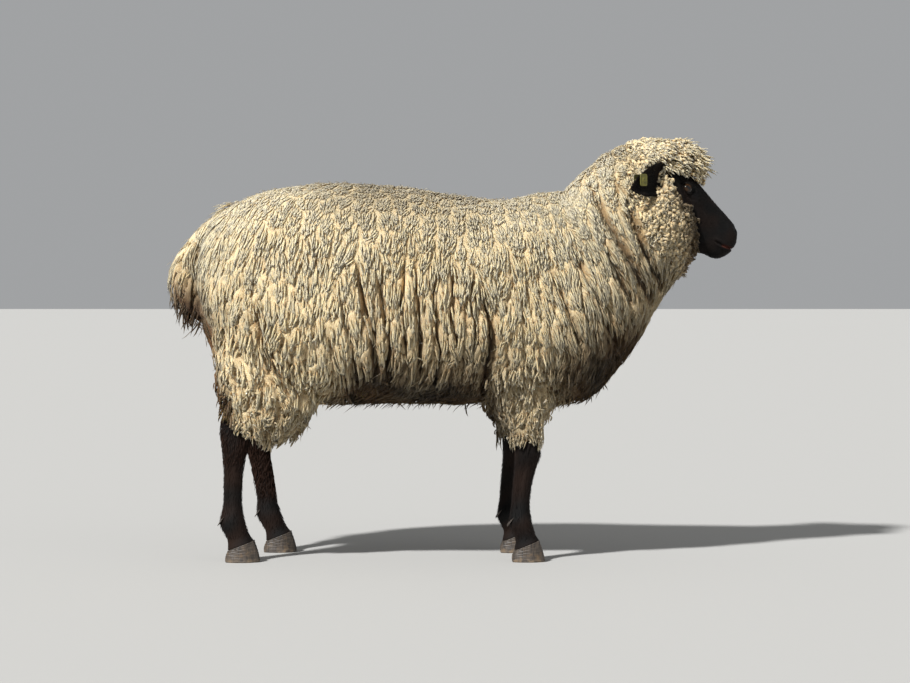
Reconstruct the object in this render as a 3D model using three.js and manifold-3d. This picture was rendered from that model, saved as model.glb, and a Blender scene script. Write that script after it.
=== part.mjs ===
// A life-size standing sheep of a black-faced down breed in full fleece, head raised, seen as a still model.
// Millimetres, +X towards the nose, +Y to the animal's left, +Z up. The origin is on the floor, in the middle
// of the model's box. The solids are the outline of the coat: the fleece on the trunk, neck, tail, upper legs
// and crown, and short hair on the face, ears and lower legs.

import * as THREE from "three";
import { mergeVertices } from "three/addons/utils/BufferGeometryUtils.js";
import Module from "manifold-3d";

const wasm = await Module();
wasm.setup();

// ---- Driving dimensions ----

const GAP = 0.4; // between neighbouring solids
const FLEECE_COLOUR = 0xc9b48c;
const HAIR_COLOUR = 0x1a1614;
const HORN_COLOUR = 0x2b2622;
const EYE_COLOUR = 0x3a2410;
const TAG_COLOUR = 0xc7b52a;

const TORSO_SIDES = 25; // facets round a section
const FACE_SIDES = 18;
const LEG_SIDES = 16;
const SHANK_SIDES = 12;
const CLAW_SIDES = 10;
const SMOOTH = 2; // rings made from each named section

const FORE_TRACK = 104; // from the middle to a foreleg
const HIND_TRACK = 112;
const LEFT_FORE_BACK = 22; // the left foreleg stands this far behind the right one
const LEFT_HIND_AHEAD = 68; // the left hind hoof stands this far ahead of the right one
const STRIDE_TOP = 330; // height at which that step ahead fades out
const CLAW_SPREAD = 15.5; // from a leg's middle to the middle of one claw
const CLAW_HALF = 13.5;

const EYE_PLACE = [509, 808];
const EYE_OUT = 44; // from the middle to an eyeball's centre
const EYE_RADIUS = 14.5;

const NOSTRIL_PLACE = [621, 709];
const NOSTRIL_OUT = 15;
const NOSTRIL_HALF = [4, 5, 9];
const NOSTRIL_TURN = 0.5;

const MOUTH_PLACE = [604, 0, 683];
const MOUTH_HALF = [27, 60, 1.6];
const MOUTH_TURN = 0.42;

const EAR_ROOT = [462, 66, 836];
const EAR_TIP = [384, 172, 812];
const EAR_WIDTH = 76;
const EAR_THICK = 7;
const EAR_CUP = 1.5; // radians through which the ear's width is rolled

const TAG_PLACE = [401, -150, 823];
const TAG_PLATE = [21, 26, 2.2];
const TAG_PIN = 6;
const TAG_BEHIND = 6; // the rear plate sits this much nearer the ear's tip
const TAG_TURN = 0.2; // radians the plates are turned outwards from the ear

const CROWN_CENTRE = [498, 865];
const CROWN_SIZE = [60, 62, 48]; // half sizes along the head, across it and up
const CROWN_TILT = 0.62; // radians, nose end down

// ---- Sections ----
// A section is a flat ring. high and low are [x, z] on the outline seen from the side, half is the half width
// across, and full above 2 squares the ring off. side is the [x, z] outline's distance from the middle plane.

const section = (high, low, half, full = 2) => ({ high, low, half, full });

const TORSO = [
  section([-556, 655], [-552, 520], 66),
  section([-541, 715], [-538, 468], 128),
  section([-512, 760], [-510, 405], 172),
  section([-467, 786], [-465, 363], 205, 2.2),
  section([-401, 810], [-400, 343], 233, 2.3),
  section([-313, 821], [-312, 338], 251, 2.4), // rump, the highest of the back
  section([-203, 823], [-203, 338], 262, 2.4),
  section([-93, 812], [-93, 340], 262, 2.4), // barrel, the widest
  section([16, 796], [18, 337], 250, 2.3),
  section([115, 789], [125, 334], 233, 2.3),
  section([193, 803], [228, 333], 216, 2.2), // withers and brisket
  section([241, 808], [307, 353], 199, 2.1),
  section([267, 834], [369, 415], 180),
  section([294, 858], [415, 482], 162),
  section([329, 884], [452, 547], 147),
  section([372, 905], [487, 602], 133),
  section([423, 918], [519, 649], 118),
  section([458, 914], [538, 676], 99),
  section([480, 884], [536, 703], 66), // edge of the cheek wool
];

const FACE = [
  section([446, 862], [413, 752], 50),
  section([484, 870], [424, 719], 60),
  section([518, 849], [457, 698], 65), // across the eyes
  section([541, 823], [496, 682], 56),
  section([564, 796], [527, 671], 46),
  section([586, 771], [551, 666], 41),
  section([606, 749], [568, 658], 38.5),
  section([620, 731], [584, 656], 36), // nostrils and chin
  section([626, 711], [604, 665], 27),
  section([625, 697], [615, 680], 12),
];

const TAIL = [
  section([-500, 772], [-470, 690], 62),
  section([-547, 737], [-512, 652], 64),
  section([-583, 697], [-532, 612], 62),
  section([-611, 660], [-541, 577], 57),
  section([-625, 618], [-542, 546], 51),
  section([-617, 574], [-536, 520], 43),
  section([-594, 537], [-545, 507], 26),
];

// For a leg, high is its front and low its back.
const FOREARM = [
  section([237, 433], [78, 433], 60),
  section([229, 366], [78, 366], 58),
  section([213, 324], [90, 328], 50),
  section([201, 291], [108, 294], 42),
  section([195, 262], [120, 262], 34),
];

const FORE_SHANK = [
  section([188, 285], [131, 285], 22),
  section([190, 249], [134, 249], 25),
  section([191, 231], [134, 229], 26), // knee
  section([183, 207], [133, 203], 21),
  section([173, 169], [131, 169], 17),
  section([168, 125], [128, 125], 17),
  section([172, 88], [122, 82], 23), // fetlock
  section([180, 61], [134, 49], 23),
  section([188, 47], [132, 24], 29), // coronet
];

const THIGH = [
  section([-296, 430], [-520, 470], 84),
  section([-297, 352], [-515, 392], 77),
  section([-318, 312], [-502, 340], 63),
  section([-344, 280], [-494, 316], 51),
  section([-374, 248], [-483, 296], 38),
];

const HIND_SHANK = [
  section([-410, 318], [-478, 340], 24),
  section([-428, 276], [-500, 292], 25), // point of the hock
  section([-440, 252], [-499, 262], 25),
  section([-450, 216], [-494, 222], 20),
  section([-453, 169], [-494, 169], 17),
  section([-454, 125], [-495, 125], 17),
  section([-449, 88], [-502, 84], 23), // fetlock
  section([-440, 61], [-488, 49], 23),
  section([-429, 47], [-487, 24], 29), // coronet
];

const CLAW_SOLE = { toe: 14, heel: 4 }; // how far the sole runs past the coronet
const CLAW_MID = 22; // height of the claw's middle ring

// ---- Shape functions ----

// Cubic through b and c, with a and d as the neighbours that set its slopes.
function through(a, b, c, d, t) {
  const bend = -a + 3 * b - 3 * c + d;
  const curve = 2 * a - 5 * b + 4 * c - d;
  return 0.5 * (2 * b + (c - a) * t + curve * t * t + bend * t ** 3);
}

// The named sections with smooth ones added between them.
function smoothed(sections, steps) {
  const last = sections.length - 1;
  const rows = sections.map((s) => [...s.high, ...s.low, s.half, s.full]);
  const made = [];
  for (let i = 0; i < last; i++) {
    const near = [i - 1, i, i + 1, i + 2].map((k) => rows[Math.min(Math.max(k, 0), last)]);
    for (let step = 0; step < steps; step++) {
      made.push(rows[0].map((_, k) => through(...near.map((row) => row[k]), step / steps)));
    }
  }
  made.push(rows[last]);
  return made.map(([hx, hz, lx, lz, half, full]) => section([hx, hz], [lx, lz], half, full));
}

const rounded = (value, full) => Math.sign(value) * Math.abs(value) ** (2 / full);

// The points of one ring, grown outwards by grow, about the plane y = side.
function ring(s, sides, side, grow) {
  const centre = [(s.high[0] + s.low[0]) / 2, (s.high[1] + s.low[1]) / 2];
  const reach = [(s.high[0] - s.low[0]) / 2, (s.high[1] - s.low[1]) / 2];
  const scale = 1 + grow / Math.hypot(...reach);
  return Array.from({ length: sides }, (_, k) => {
    const angle = (2 * Math.PI * k) / sides;
    const along = rounded(Math.cos(angle), s.full) * scale;
    const across = rounded(Math.sin(angle), s.full) * (s.half + grow);
    return [centre[0] + reach[0] * along, side + across, centre[1] + reach[1] * along];
  });
}

// A closed geometry from rings with equal numbers of points: each end is a fan to the ring's middle.
function skinned(rings) {
  const sides = rings[0].length;
  const middle = (points) => [0, 1, 2].map((k) => points.reduce((sum, p) => sum + p[k], 0) / sides);
  const points = [...rings.flat(), middle(rings[0]), middle(rings.at(-1))];
  const startPole = rings.length * sides;
  const faces = [];
  for (let k = 0; k < sides; k++) {
    const next = (k + 1) % sides;
    for (let r = 0; r < rings.length - 1; r++) {
      const [a, b] = [r * sides + k, r * sides + next];
      faces.push(a, b, b + sides, a, b + sides, a + sides);
    }
    const end = (rings.length - 1) * sides;
    faces.push(startPole, next, k, startPole + 1, end + k, end + next);
  }
  const geometry = new THREE.BufferGeometry();
  geometry.setAttribute("position", new THREE.Float32BufferAttribute(points.flat(), 3));
  geometry.setIndex(faces);
  return geometry;
}

// A manifold solid from a closed geometry, turned the right way out.
function solid(geometry) {
  const bare = geometry.clone();
  for (const name of Object.keys(bare.attributes)) {
    if (name !== "position") {
      bare.deleteAttribute(name);
    }
  }
  const merged = mergeVertices(bare, 1e-3);
  const vertProperties = new Float32Array(merged.attributes.position.array);
  const build = (triVerts) =>
    new wasm.Manifold(new wasm.Mesh({ numProp: 3, vertProperties, triVerts }));
  const made = build(new Uint32Array(merged.index.array));
  return made.volume() < 0 ? build(new Uint32Array(merged.index.array).reverse()) : made;
}

// The end sections carried outwards by grow along the loft.
function stretched(sections, grow) {
  const heart = (s) => [(s.high[0] + s.low[0]) / 2, (s.high[1] + s.low[1]) / 2];
  const moved = (end, inner) => {
    const step = heart(end).map((value, k) => value - heart(inner)[k]);
    const by = step.map((value) => (value / Math.hypot(...step)) * grow);
    const shift = (point) => point.map((value, k) => value + by[k]);
    return section(shift(end.high), shift(end.low), end.half, end.full);
  };
  const first = moved(sections[0], sections[1]);
  return [first, ...sections.slice(1, -1), moved(sections.at(-1), sections.at(-2))];
}

function loft(sections, { sides, steps = SMOOTH, side = 0, grow = 0 }) {
  const rings = stretched(smoothed(sections, steps), grow).map((s) => ring(s, sides, side, grow));
  return solid(skinned(rings));
}

// Everything on one side of a plane across the middle plane: point is [x, z] on it and lean its tilt from
// upright, in radians. ahead is true for the nose side.
function halfSpace(point, lean, ahead) {
  const size = 3000;
  const box = new THREE.BoxGeometry(size, size, size);
  box.translate(((ahead ? 1 : -1) * (size + GAP)) / 2, 0, 0);
  box.rotateY(lean);
  box.translate(point[0], 0, point[1]);
  return solid(box);
}

const NECK_CUT = { point: [280, 610], lean: -0.23 };
const HEAD_CUT = { point: [436, 750], lean: -0.43 };

// ---- Sub-parts ----

const torso = (grow = 0) => loft(TORSO, { sides: TORSO_SIDES, grow });

function crown(grow = 0) {
  const ball = new THREE.SphereGeometry(1, 20, 12);
  ball.scale(...CROWN_SIZE.map((half) => half + grow));
  ball.rotateY(CROWN_TILT);
  ball.translate(CROWN_CENTRE[0], 0, CROWN_CENTRE[1]);
  return solid(ball);
}

const behind = (cut) => halfSpace(cut.point, cut.lean, false);
const aheadOf = (cut) => halfSpace(cut.point, cut.lean, true);

function trunk() {
  return torso().intersect(behind(NECK_CUT));
}

function neck() {
  return torso().intersect(aheadOf(NECK_CUT)).intersect(behind(HEAD_CUT));
}

function eyeball(hand, grow = 0) {
  const ball = new THREE.SphereGeometry(EYE_RADIUS + grow, 12, 9);
  ball.translate(EYE_PLACE[0], hand * EYE_OUT, EYE_PLACE[1]);
  return solid(ball);
}

function wholeHead(grow = 0) {
  const wool = torso(grow).intersect(aheadOf(HEAD_CUT));
  const face = loft(FACE, { sides: FACE_SIDES, grow }).intersect(aheadOf(HEAD_CUT));
  return wool.add(face).add(crown(grow));
}

// An ellipsoid stretched and turned in the side plane, used to hollow the muzzle.
function hollow(half, turn, place) {
  const ball = new THREE.SphereGeometry(1, 10, 8);
  ball.scale(...half);
  ball.rotateY(turn);
  ball.translate(...place);
  return solid(ball);
}

function head() {
  let made = wholeHead().subtract(hollow(MOUTH_HALF, MOUTH_TURN, MOUTH_PLACE));
  for (const hand of [-1, 1]) {
    const nostril = [NOSTRIL_PLACE[0], hand * NOSTRIL_OUT, NOSTRIL_PLACE[1]];
    made = made.subtract(eyeball(hand, GAP)).subtract(hollow(NOSTRIL_HALF, NOSTRIL_TURN, nostril));
  }
  return made;
}

// The ear is a leaf rolled about its own length, from a narrow root through a broad middle to a blunt tip.
function earShape(hand) {
  const root = new THREE.Vector3(...EAR_ROOT);
  const tip = new THREE.Vector3(...EAR_TIP);
  const along = tip.clone().sub(root);
  const up = new THREE.Vector3(0, 0, 1);
  const lengthwise = along.clone().normalize();
  const wide = up.clone().addScaledVector(lengthwise, -up.dot(lengthwise)).normalize();
  const hollow = lengthwise.clone().cross(wide).normalize();
  const rings = [];
  const count = 9;
  for (let i = 0; i <= count; i++) {
    const share = i / count;
    const half = (EAR_WIDTH / 2) * Math.max(0.09, Math.sin(Math.PI * (0.2 + 0.78 * share)) ** 0.62);
    const radius = (2 * half) / EAR_CUP;
    const thick = EAR_THICK * (1 - 0.45 * share);
    const points = [];
    for (let k = 0; k < 12; k++) {
      const angle = (2 * Math.PI * k) / 12;
      const roll = (Math.cos(angle) * EAR_CUP) / 2;
      const reach = radius + (Math.sin(angle) * thick) / 2;
      const place = root.clone().addScaledVector(along, share);
      place.addScaledVector(wide, Math.sin(roll) * reach);
      place.addScaledVector(hollow, radius - Math.cos(roll) * reach);
      points.push([place.x, place.y * hand, place.z]);
    }
    rings.push(points);
  }
  return solid(skinned(rings));
}

// The tag in the right ear: a plate in the ear's hollow, a pin through the ear and a plate behind it.
function tagPiece(size, from, offset, grow = 0) {
  const [back, out] = [EAR_TIP[0] - EAR_ROOT[0], EAR_TIP[1] - EAR_ROOT[1]];
  const heading = Math.atan2(-out, back) - TAG_TURN;
  const lengthwise = new THREE.Vector3(Math.cos(heading), Math.sin(heading), 0);
  const facing = new THREE.Vector3(-lengthwise.y, lengthwise.x, 0);
  const up = new THREE.Vector3(0, 0, 1);
  const box = new THREE.BoxGeometry(...size.map((value) => value + grow));
  box.translate(offset, 0, from + size[2] / 2);
  box.applyMatrix4(new THREE.Matrix4().makeBasis(lengthwise, up, facing));
  box.translate(...TAG_PLACE);
  return solid(box);
}

function tag() {
  return tagPiece(TAG_PLATE, 11, 0)
    .add(tagPiece([TAG_PIN, TAG_PIN, 30], -15, 0))
    .add(tagPiece(TAG_PLATE, -15, TAG_BEHIND));
}

function ear(hand) {
  const made = earShape(hand).subtract(torso(GAP)).subtract(wholeHead(GAP));
  return hand < 0 ? made.subtract(tagPiece([TAG_PIN, TAG_PIN, 60], -30, 0, 2 * GAP)) : made;
}

function tail() {
  return loft(TAIL, { sides: LEG_SIDES }).subtract(torso(GAP));
}

// A leg's sections moved to where that leg stands.
function standing(sections, fore, hand) {
  const shift = (x, z) => {
    if (hand < 0) {
      return x;
    }
    const fade = Math.max(0, 1 - (Math.max(z, 0) / STRIDE_TOP) ** 2);
    return fore ? x - LEFT_FORE_BACK : x + LEFT_HIND_AHEAD * fade;
  };
  return sections.map((s) =>
    section([shift(...s.high), s.high[1]], [shift(...s.low), s.low[1]], s.half, s.full),
  );
}

const track = (fore, hand) => hand * (fore ? FORE_TRACK : HIND_TRACK);

function shank(fore, hand, grow = 0) {
  const sections = standing(fore ? FORE_SHANK : HIND_SHANK, fore, hand);
  return loft(sections, { sides: SHANK_SIDES, side: track(fore, hand), grow });
}

function upperLeg(fore, hand) {
  const sections = standing(fore ? FOREARM : THIGH, fore, hand);
  const side = track(fore, hand);
  return loft(sections, { sides: LEG_SIDES, side })
    .subtract(torso(GAP))
    .subtract(shank(fore, hand, GAP));
}

function lowerLeg(fore, hand) {
  return shank(fore, hand).subtract(torso(GAP));
}

// One claw: flat on the floor, rising to the coronet just under the leg.
function claw(fore, hand, part) {
  const coronet = standing((fore ? FORE_SHANK : HIND_SHANK).slice(-1), fore, hand)[0];
  const [frontX, frontZ] = coronet.high;
  const [backX, backZ] = coronet.low;
  const toe = [frontX + CLAW_SOLE.toe, 0];
  const heel = [backX - CLAW_SOLE.heel, 0];
  const between = (a, b, share) => a.map((value, k) => value + (b[k] - value) * share);
  const rings = [
    section([frontX, frontZ - GAP], [backX + 2, backZ - GAP], CLAW_HALF),
    section(between(coronet.high, toe, 0.5), between(coronet.low, heel, 0.5), CLAW_HALF + 1),
    section(toe, heel, CLAW_HALF + 1.2, 2.3),
  ];
  const side = track(fore, hand) + part * CLAW_SPREAD;
  return loft(rings, { sides: CLAW_SIDES, steps: 1, side });
}

// ---- The model ----

const sheep = new THREE.Group();

function add(name, made, colour, roughness) {
  const mesh = made.getMesh();
  const geometry = new THREE.BufferGeometry();
  geometry.setAttribute("position", new THREE.BufferAttribute(mesh.vertProperties, 3));
  geometry.setIndex(new THREE.BufferAttribute(mesh.triVerts, 1));
  geometry.computeVertexNormals();
  const material = new THREE.MeshStandardMaterial({ color: colour, roughness, metalness: 0 });
  const node = new THREE.Mesh(geometry, material);
  node.name = name;
  sheep.add(node);
}

add("trunk", trunk(), FLEECE_COLOUR, 0.95);
add("neck", neck(), FLEECE_COLOUR, 0.95);
add("head", head(), HAIR_COLOUR, 0.8);
add("tail", tail(), FLEECE_COLOUR, 0.95);

for (const [word, hand] of [["left", 1], ["right", -1]]) {
  add(`ear_${word}`, ear(hand), HAIR_COLOUR, 0.8);
  add(`eye_${word}`, eyeball(hand), EYE_COLOUR, 0.1);
  for (const [place, fore] of [["fore", true], ["hind", false]]) {
    add(`${place}leg_upper_${word}`, upperLeg(fore, hand), FLEECE_COLOUR, 0.95);
    add(`${place}leg_lower_${word}`, lowerLeg(fore, hand), HAIR_COLOUR, 0.8);
    add(`hoof_${place}_${word}_inner`, claw(fore, hand, -hand), HORN_COLOUR, 0.6);
    add(`hoof_${place}_${word}_outer`, claw(fore, hand, hand), HORN_COLOUR, 0.6);
  }
}

add("ear_tag", tag(), TAG_COLOUR, 0.4);

export default sheep;
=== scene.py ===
"""Looks of a life-size standing sheep: one skin, its fleece in locks, short hair, eyes, hooves and ear tag.

Metres, +X towards the nose, +Y to the animal's left, +Z up. Tables are in millimetres.
"""

import math

import bpy
import numpy as np
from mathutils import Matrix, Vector
from mathutils.bvhtree import BVHTree


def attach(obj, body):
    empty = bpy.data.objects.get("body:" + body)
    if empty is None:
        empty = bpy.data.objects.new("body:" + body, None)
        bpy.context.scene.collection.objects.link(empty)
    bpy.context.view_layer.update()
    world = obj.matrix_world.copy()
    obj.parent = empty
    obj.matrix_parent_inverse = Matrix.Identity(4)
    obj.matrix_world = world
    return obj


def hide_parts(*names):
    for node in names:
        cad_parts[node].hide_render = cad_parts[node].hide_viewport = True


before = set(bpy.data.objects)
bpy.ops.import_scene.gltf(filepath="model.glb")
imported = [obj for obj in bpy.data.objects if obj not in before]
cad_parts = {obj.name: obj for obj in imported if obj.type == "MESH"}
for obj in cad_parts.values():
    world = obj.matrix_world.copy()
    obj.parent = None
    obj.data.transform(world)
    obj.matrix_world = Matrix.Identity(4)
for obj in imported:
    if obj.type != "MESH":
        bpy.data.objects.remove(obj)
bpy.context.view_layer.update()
MM = 0.001

# ---- Sections: x and z of the upper edge, x and z of the lower edge, half width, fullness ----

TORSO = [
    (-556, 655, -552, 520, 66, 2), (-541, 715, -538, 468, 128, 2), (-512, 760, -510, 405, 172, 2),
    (-467, 786, -465, 363, 205, 2.2), (-401, 810, -400, 343, 233, 2.3), (-313, 821, -312, 338, 251, 2.4),
    (-203, 823, -203, 338, 262, 2.4), (-93, 812, -93, 340, 262, 2.4), (16, 796, 18, 337, 250, 2.3),
    (115, 789, 125, 334, 233, 2.3), (193, 803, 228, 333, 216, 2.2), (241, 808, 307, 353, 199, 2.1),
    (267, 834, 369, 415, 180, 2), (294, 858, 415, 482, 162, 2), (329, 884, 452, 547, 147, 2),
    (372, 905, 487, 602, 133, 2), (423, 918, 519, 649, 118, 2), (458, 914, 538, 676, 99, 2),
    (480, 884, 536, 703, 66, 2),
]
# coat depth at each torso section
TORSO_COAT = [40, 44, 46, 46, 45, 44, 43, 42, 42, 42, 42, 40, 38, 36, 33, 30, 27, 24, 20]

# for the face the fullness is given above and below the widest level, then that level's share of the height
FACE = [
    (446, 862, 413, 752, 46, 2.2, 2.0, 0.55), (484, 869, 424, 719, 56, 2.5, 1.9, 0.60),
    (517, 848, 457, 698, 60, 2.7, 1.75, 0.64), (540, 822, 496, 682, 54, 2.2, 1.8, 0.62),
    (563, 795, 527, 671, 45, 1.9, 1.9, 0.56), (585, 770, 551, 666, 40, 1.9, 2.1, 0.52),
    (605, 748, 568, 658, 38, 2.1, 2.2, 0.52), (619, 730, 584, 656, 35.5, 2.3, 2.2, 0.52),
    (625, 710, 604, 665, 27, 2.3, 2.2, 0.52), (624, 696, 615, 680, 13, 2, 2, 0.5),
]
TAIL = [
    (-500, 772, -470, 690, 62, 2), (-547, 737, -512, 652, 64, 2), (-583, 697, -532, 612, 62, 2),
    (-611, 660, -541, 577, 57, 2), (-625, 618, -542, 546, 51, 2), (-617, 574, -536, 520, 43, 2),
    (-594, 537, -545, 507, 26, 2),
]
FOREARM = [
    (237, 433, 78, 433, 60, 2), (229, 366, 78, 366, 58, 2), (213, 324, 90, 328, 50, 2),
    (201, 291, 108, 294, 42, 2), (195, 262, 120, 262, 34, 2),
]
FORE_SHANK = [
    (188, 300, 131, 300, 22, 2), (188, 270, 131, 270, 22, 2), (189, 249, 134, 249, 24.5, 2.2),
    (190, 229, 135, 227, 25, 2.2), (182, 205, 134, 201, 20, 2.1), (172, 169, 131, 169, 16, 2.1),
    (167, 125, 128, 125, 16, 2.1), (171, 88, 123, 82, 22, 2.2), (179, 61, 135, 49, 22, 2.2),
    (187, 47, 133, 26, 27.5, 2.4),
]
THIGH = [
    (-322, 560, -470, 600, 50, 2), (-302, 500, -503, 545, 74, 2), (-296, 430, -520, 470, 84, 2),
    (-297, 352, -515, 392, 77, 2), (-318, 312, -502, 340, 63, 2), (-344, 280, -494, 316, 51, 2),
    (-374, 248, -483, 296, 38, 2),
]
HIND_SHANK = [
    (-400, 350, -470, 360, 26, 2), (-410, 318, -482, 334, 23, 2), (-428, 276, -499, 292, 22, 2.2),
    (-440, 252, -498, 262, 24, 2.2), (-450, 216, -494, 222, 19, 2.1), (-454, 169, -494, 169, 16, 2.1),
    (-455, 125, -495, 125, 16, 2.1), (-449, 88, -502, 84, 22, 2.2), (-440, 61, -488, 49, 22, 2.2),
    (-430, 47, -486, 26, 27.5, 2.4),
]
# half the distance between the legs of a pair, and how far the left ones stand from the tables' right ones:
# the hind leg's step forward fades out up to STRIDE_TOP
FORE_TRACK, HIND_TRACK = 104, 112
LEFT_FORE_BACK, LEFT_HIND_AHEAD, STRIDE_TOP = 22, 68, 330
LEGS = [(fore, hand) for fore in (True, False) for hand in (-1, 1)]

EYE = np.array([509.0, 44.0, 808.0])
EYE_RADIUS = 14.5
MUZZLE_MIDDLE = np.array([560.0, 0.0, 705.0])
EAR_ROOT, EAR_TIP = np.array([462.0, 66.0, 836.0]), np.array([384.0, 172.0, 812.0])
CROWN_CENTRE, CROWN_SIZE, CROWN_TILT = np.array([498.0, 0.0, 865.0]), np.array([60.0, 62.0, 48.0]), 0.62

TAG_PLACE, TAG_SIZE = np.array([401.0, -150.0, 823.0]), (21, 26)
TAG_BEHIND, TAG_TURN = -7, 0.2

CLUMP_COUNT, FLEECE_COUNT, KNOB_COUNT, CURL_COUNT, STRAY_COUNT = 2600, 50000, 4000, 3200, 5000
HAIR_COUNT, LASH_COUNT = 9500, 26
TUFT_PATCH = 0.003  # each tuft's width on OFBake
MOST_TRIANGLES = 185000  # in one piece of locks
# parts of the unwrap: left, low, right and high
WHOLE_PATCH, TRUNK_PATCH = (0.01, 0.01, 0.99, 0.99), (0.01, 0.51, 0.99, 0.99)
HEAD_PATCH, TAIL_PATCH = (0.01, 0.26, 0.49, 0.49), (0.51, 0.40, 0.74, 0.49)
# the tail lies behind the first of these x and the head's wool before the second
TAIL_FROM, HEAD_FROM = -530, 440
# the coat's depth is told by rays of at most FAR_SIDE, and by rays back to the skin of at most DEEPEST
FAR_SIDE, DEEPEST, UNKNOWN_DEPTH = 72, 60.0, 30.0
DOWN = np.array([0.0, 0.0, -1.0])
GROUPS = ("head", "neck", "shoulder_right", "shoulder_left", "flank_right", "flank_left", "rump_right",
          "rump_left", "legs", "tail")


# ---- Small numpy helpers ----


def unit(vectors):
    """Each row divided by its length."""
    return vectors / np.maximum(np.linalg.norm(vectors, axis=-1, keepdims=True), 1e-9)


def ease(low, high, value):
    """0 below low, 1 above high, and 3t^2 - 2t^3 between them."""
    t = np.clip((value - low) / (high - low), 0, 1)
    return t * t * (3 - 2 * t)


def bell(distance, width):
    """exp of minus distance over width, squared."""
    return np.exp(-((distance / width) ** 2))


def flattened(vectors, normals):
    """Each vector less its part along its normal."""
    return vectors - normals * np.einsum("ij,ij->i", vectors, normals)[:, None]


def read(sequence, key, width, kind=float):
    """One property of every item of a mesh's sequence, as rows of width numbers."""
    values = np.empty(len(sequence) * width, kind)
    sequence.foreach_get(key, values)
    return values.reshape(-1, width)


def add_marks(mesh, marks):
    """Stores a number at each point of the mesh under each name."""
    for key, value in marks.items():
        mesh.attributes.new(key, "FLOAT", "POINT").data.foreach_set("value", np.asarray(value, np.float32))


def through(table, at):
    """Rows of the table at fractional places, along a Catmull-Rom cubic through them."""
    table = np.asarray(table, float)
    last = len(table) - 1
    base = np.clip(np.floor(at).astype(int), 0, last - 1)
    f = (at - base)[:, None]
    a, b, c, d = (table[np.clip(base + k, 0, last)] for k in (-1, 0, 1, 2))
    return 0.5 * (2 * b + (c - a) * f + (2 * a - 5 * b + 4 * c - d) * f**2 + (3 * b - a - 3 * c + d) * f**3)


def side_distance(x, z, line):
    """Distance in the side view from points to a chain of straight stretches."""
    line = np.asarray(line, float)
    start, step = line[:-1], np.diff(line, axis=0)
    dx, dz = x[:, None] - start[:, 0], z[:, None] - start[:, 1]
    share = np.clip((dx * step[:, 0] + dz * step[:, 1]) / (step**2).sum(1), 0, 1)
    return np.hypot(dx - share * step[:, 0], dz - share * step[:, 1]).min(1)


# ---- Meshes from arrays ----


def mesh_object(name, points, loops, counts, uvs, marks=None):
    """A mesh from points in mm, the corners of its faces end to end, and each face's corner count."""
    mesh = bpy.data.meshes.new(name)
    mesh.vertices.add(len(points))
    mesh.vertices.foreach_set("co", (np.asarray(points, np.float32) * MM).ravel())
    mesh.loops.add(len(loops))
    mesh.loops.foreach_set("vertex_index", np.asarray(loops, np.int32))
    mesh.polygons.add(len(counts))
    starts = np.concatenate([[0], np.cumsum(counts)[:-1]]).astype(np.int32)
    mesh.polygons.foreach_set("loop_start", starts)
    for key, corners in uvs.items():
        mesh.uv_layers.new(name=key).uv.foreach_set("vector", np.asarray(corners, np.float32).ravel())
    add_marks(mesh, marks or {})
    mesh.update(calc_edges=True)
    mesh.validate()
    mesh.shade_smooth()
    made = bpy.data.objects.new(name, mesh)
    bpy.context.scene.collection.objects.link(made)
    return made


def tube_faces(rings, sides):
    """Quads between neighbouring rings and a fan to a pole at each end: corner indices and counts."""
    r, k = np.meshgrid(np.arange(rings - 1), np.arange(sides), indexing="ij")
    nxt = (k + 1) % sides
    quads = np.stack([r * sides + k, r * sides + nxt, (r + 1) * sides + nxt, (r + 1) * sides + k], -1)
    k = np.arange(sides)
    nxt = (k + 1) % sides
    pole, end = rings * sides, (rings - 1) * sides
    first = np.stack([np.full(sides, pole), nxt, k], -1)
    last = np.stack([np.full(sides, pole + 1), end + k, end + nxt], -1)
    loops = np.concatenate([quads.reshape(-1), first.reshape(-1), last.reshape(-1)])
    counts = np.concatenate([np.full(quads.size // 4, 4), np.full(2 * sides, 3)])
    return loops, counts


def tube_points(grid):
    """The grid's places in a row, and then its poles, the middles of its first and last rings."""
    return np.concatenate([grid.reshape(-1, 3), [grid[0].mean(0)], [grid[-1].mean(0)]])


def tube_object(name, grid, patch=WHOLE_PATCH, shares=None):
    """A closed tube from a rings by sides grid of points, unrolled into the patch (left, low, right, high) of
    OFBake. Each ring lies at its share of the patch's length."""
    rings, sides = grid.shape[:2]
    loops, counts = tube_faces(rings, sides)
    shares = np.linspace(0, 1, rings) if shares is None else shares
    along = np.concatenate([np.repeat(shares, sides), shares[[0, -1]]])
    around = np.concatenate([np.tile(np.arange(sides), rings) / sides, [0.5, 0.5]])
    u, v = along[loops], around[loops]
    highest = np.repeat(np.maximum.reduceat(v, np.cumsum(counts) - counts), counts)
    v = np.where((v < 0.01) & (highest > 0.5), 1.0, v)
    left, low, right, high = patch
    corners = np.stack([left + u * (right - left), low + v * (high - low)], -1)
    return mesh_object(name, tube_points(grid), loops, counts, {"OFBake": corners})


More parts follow.
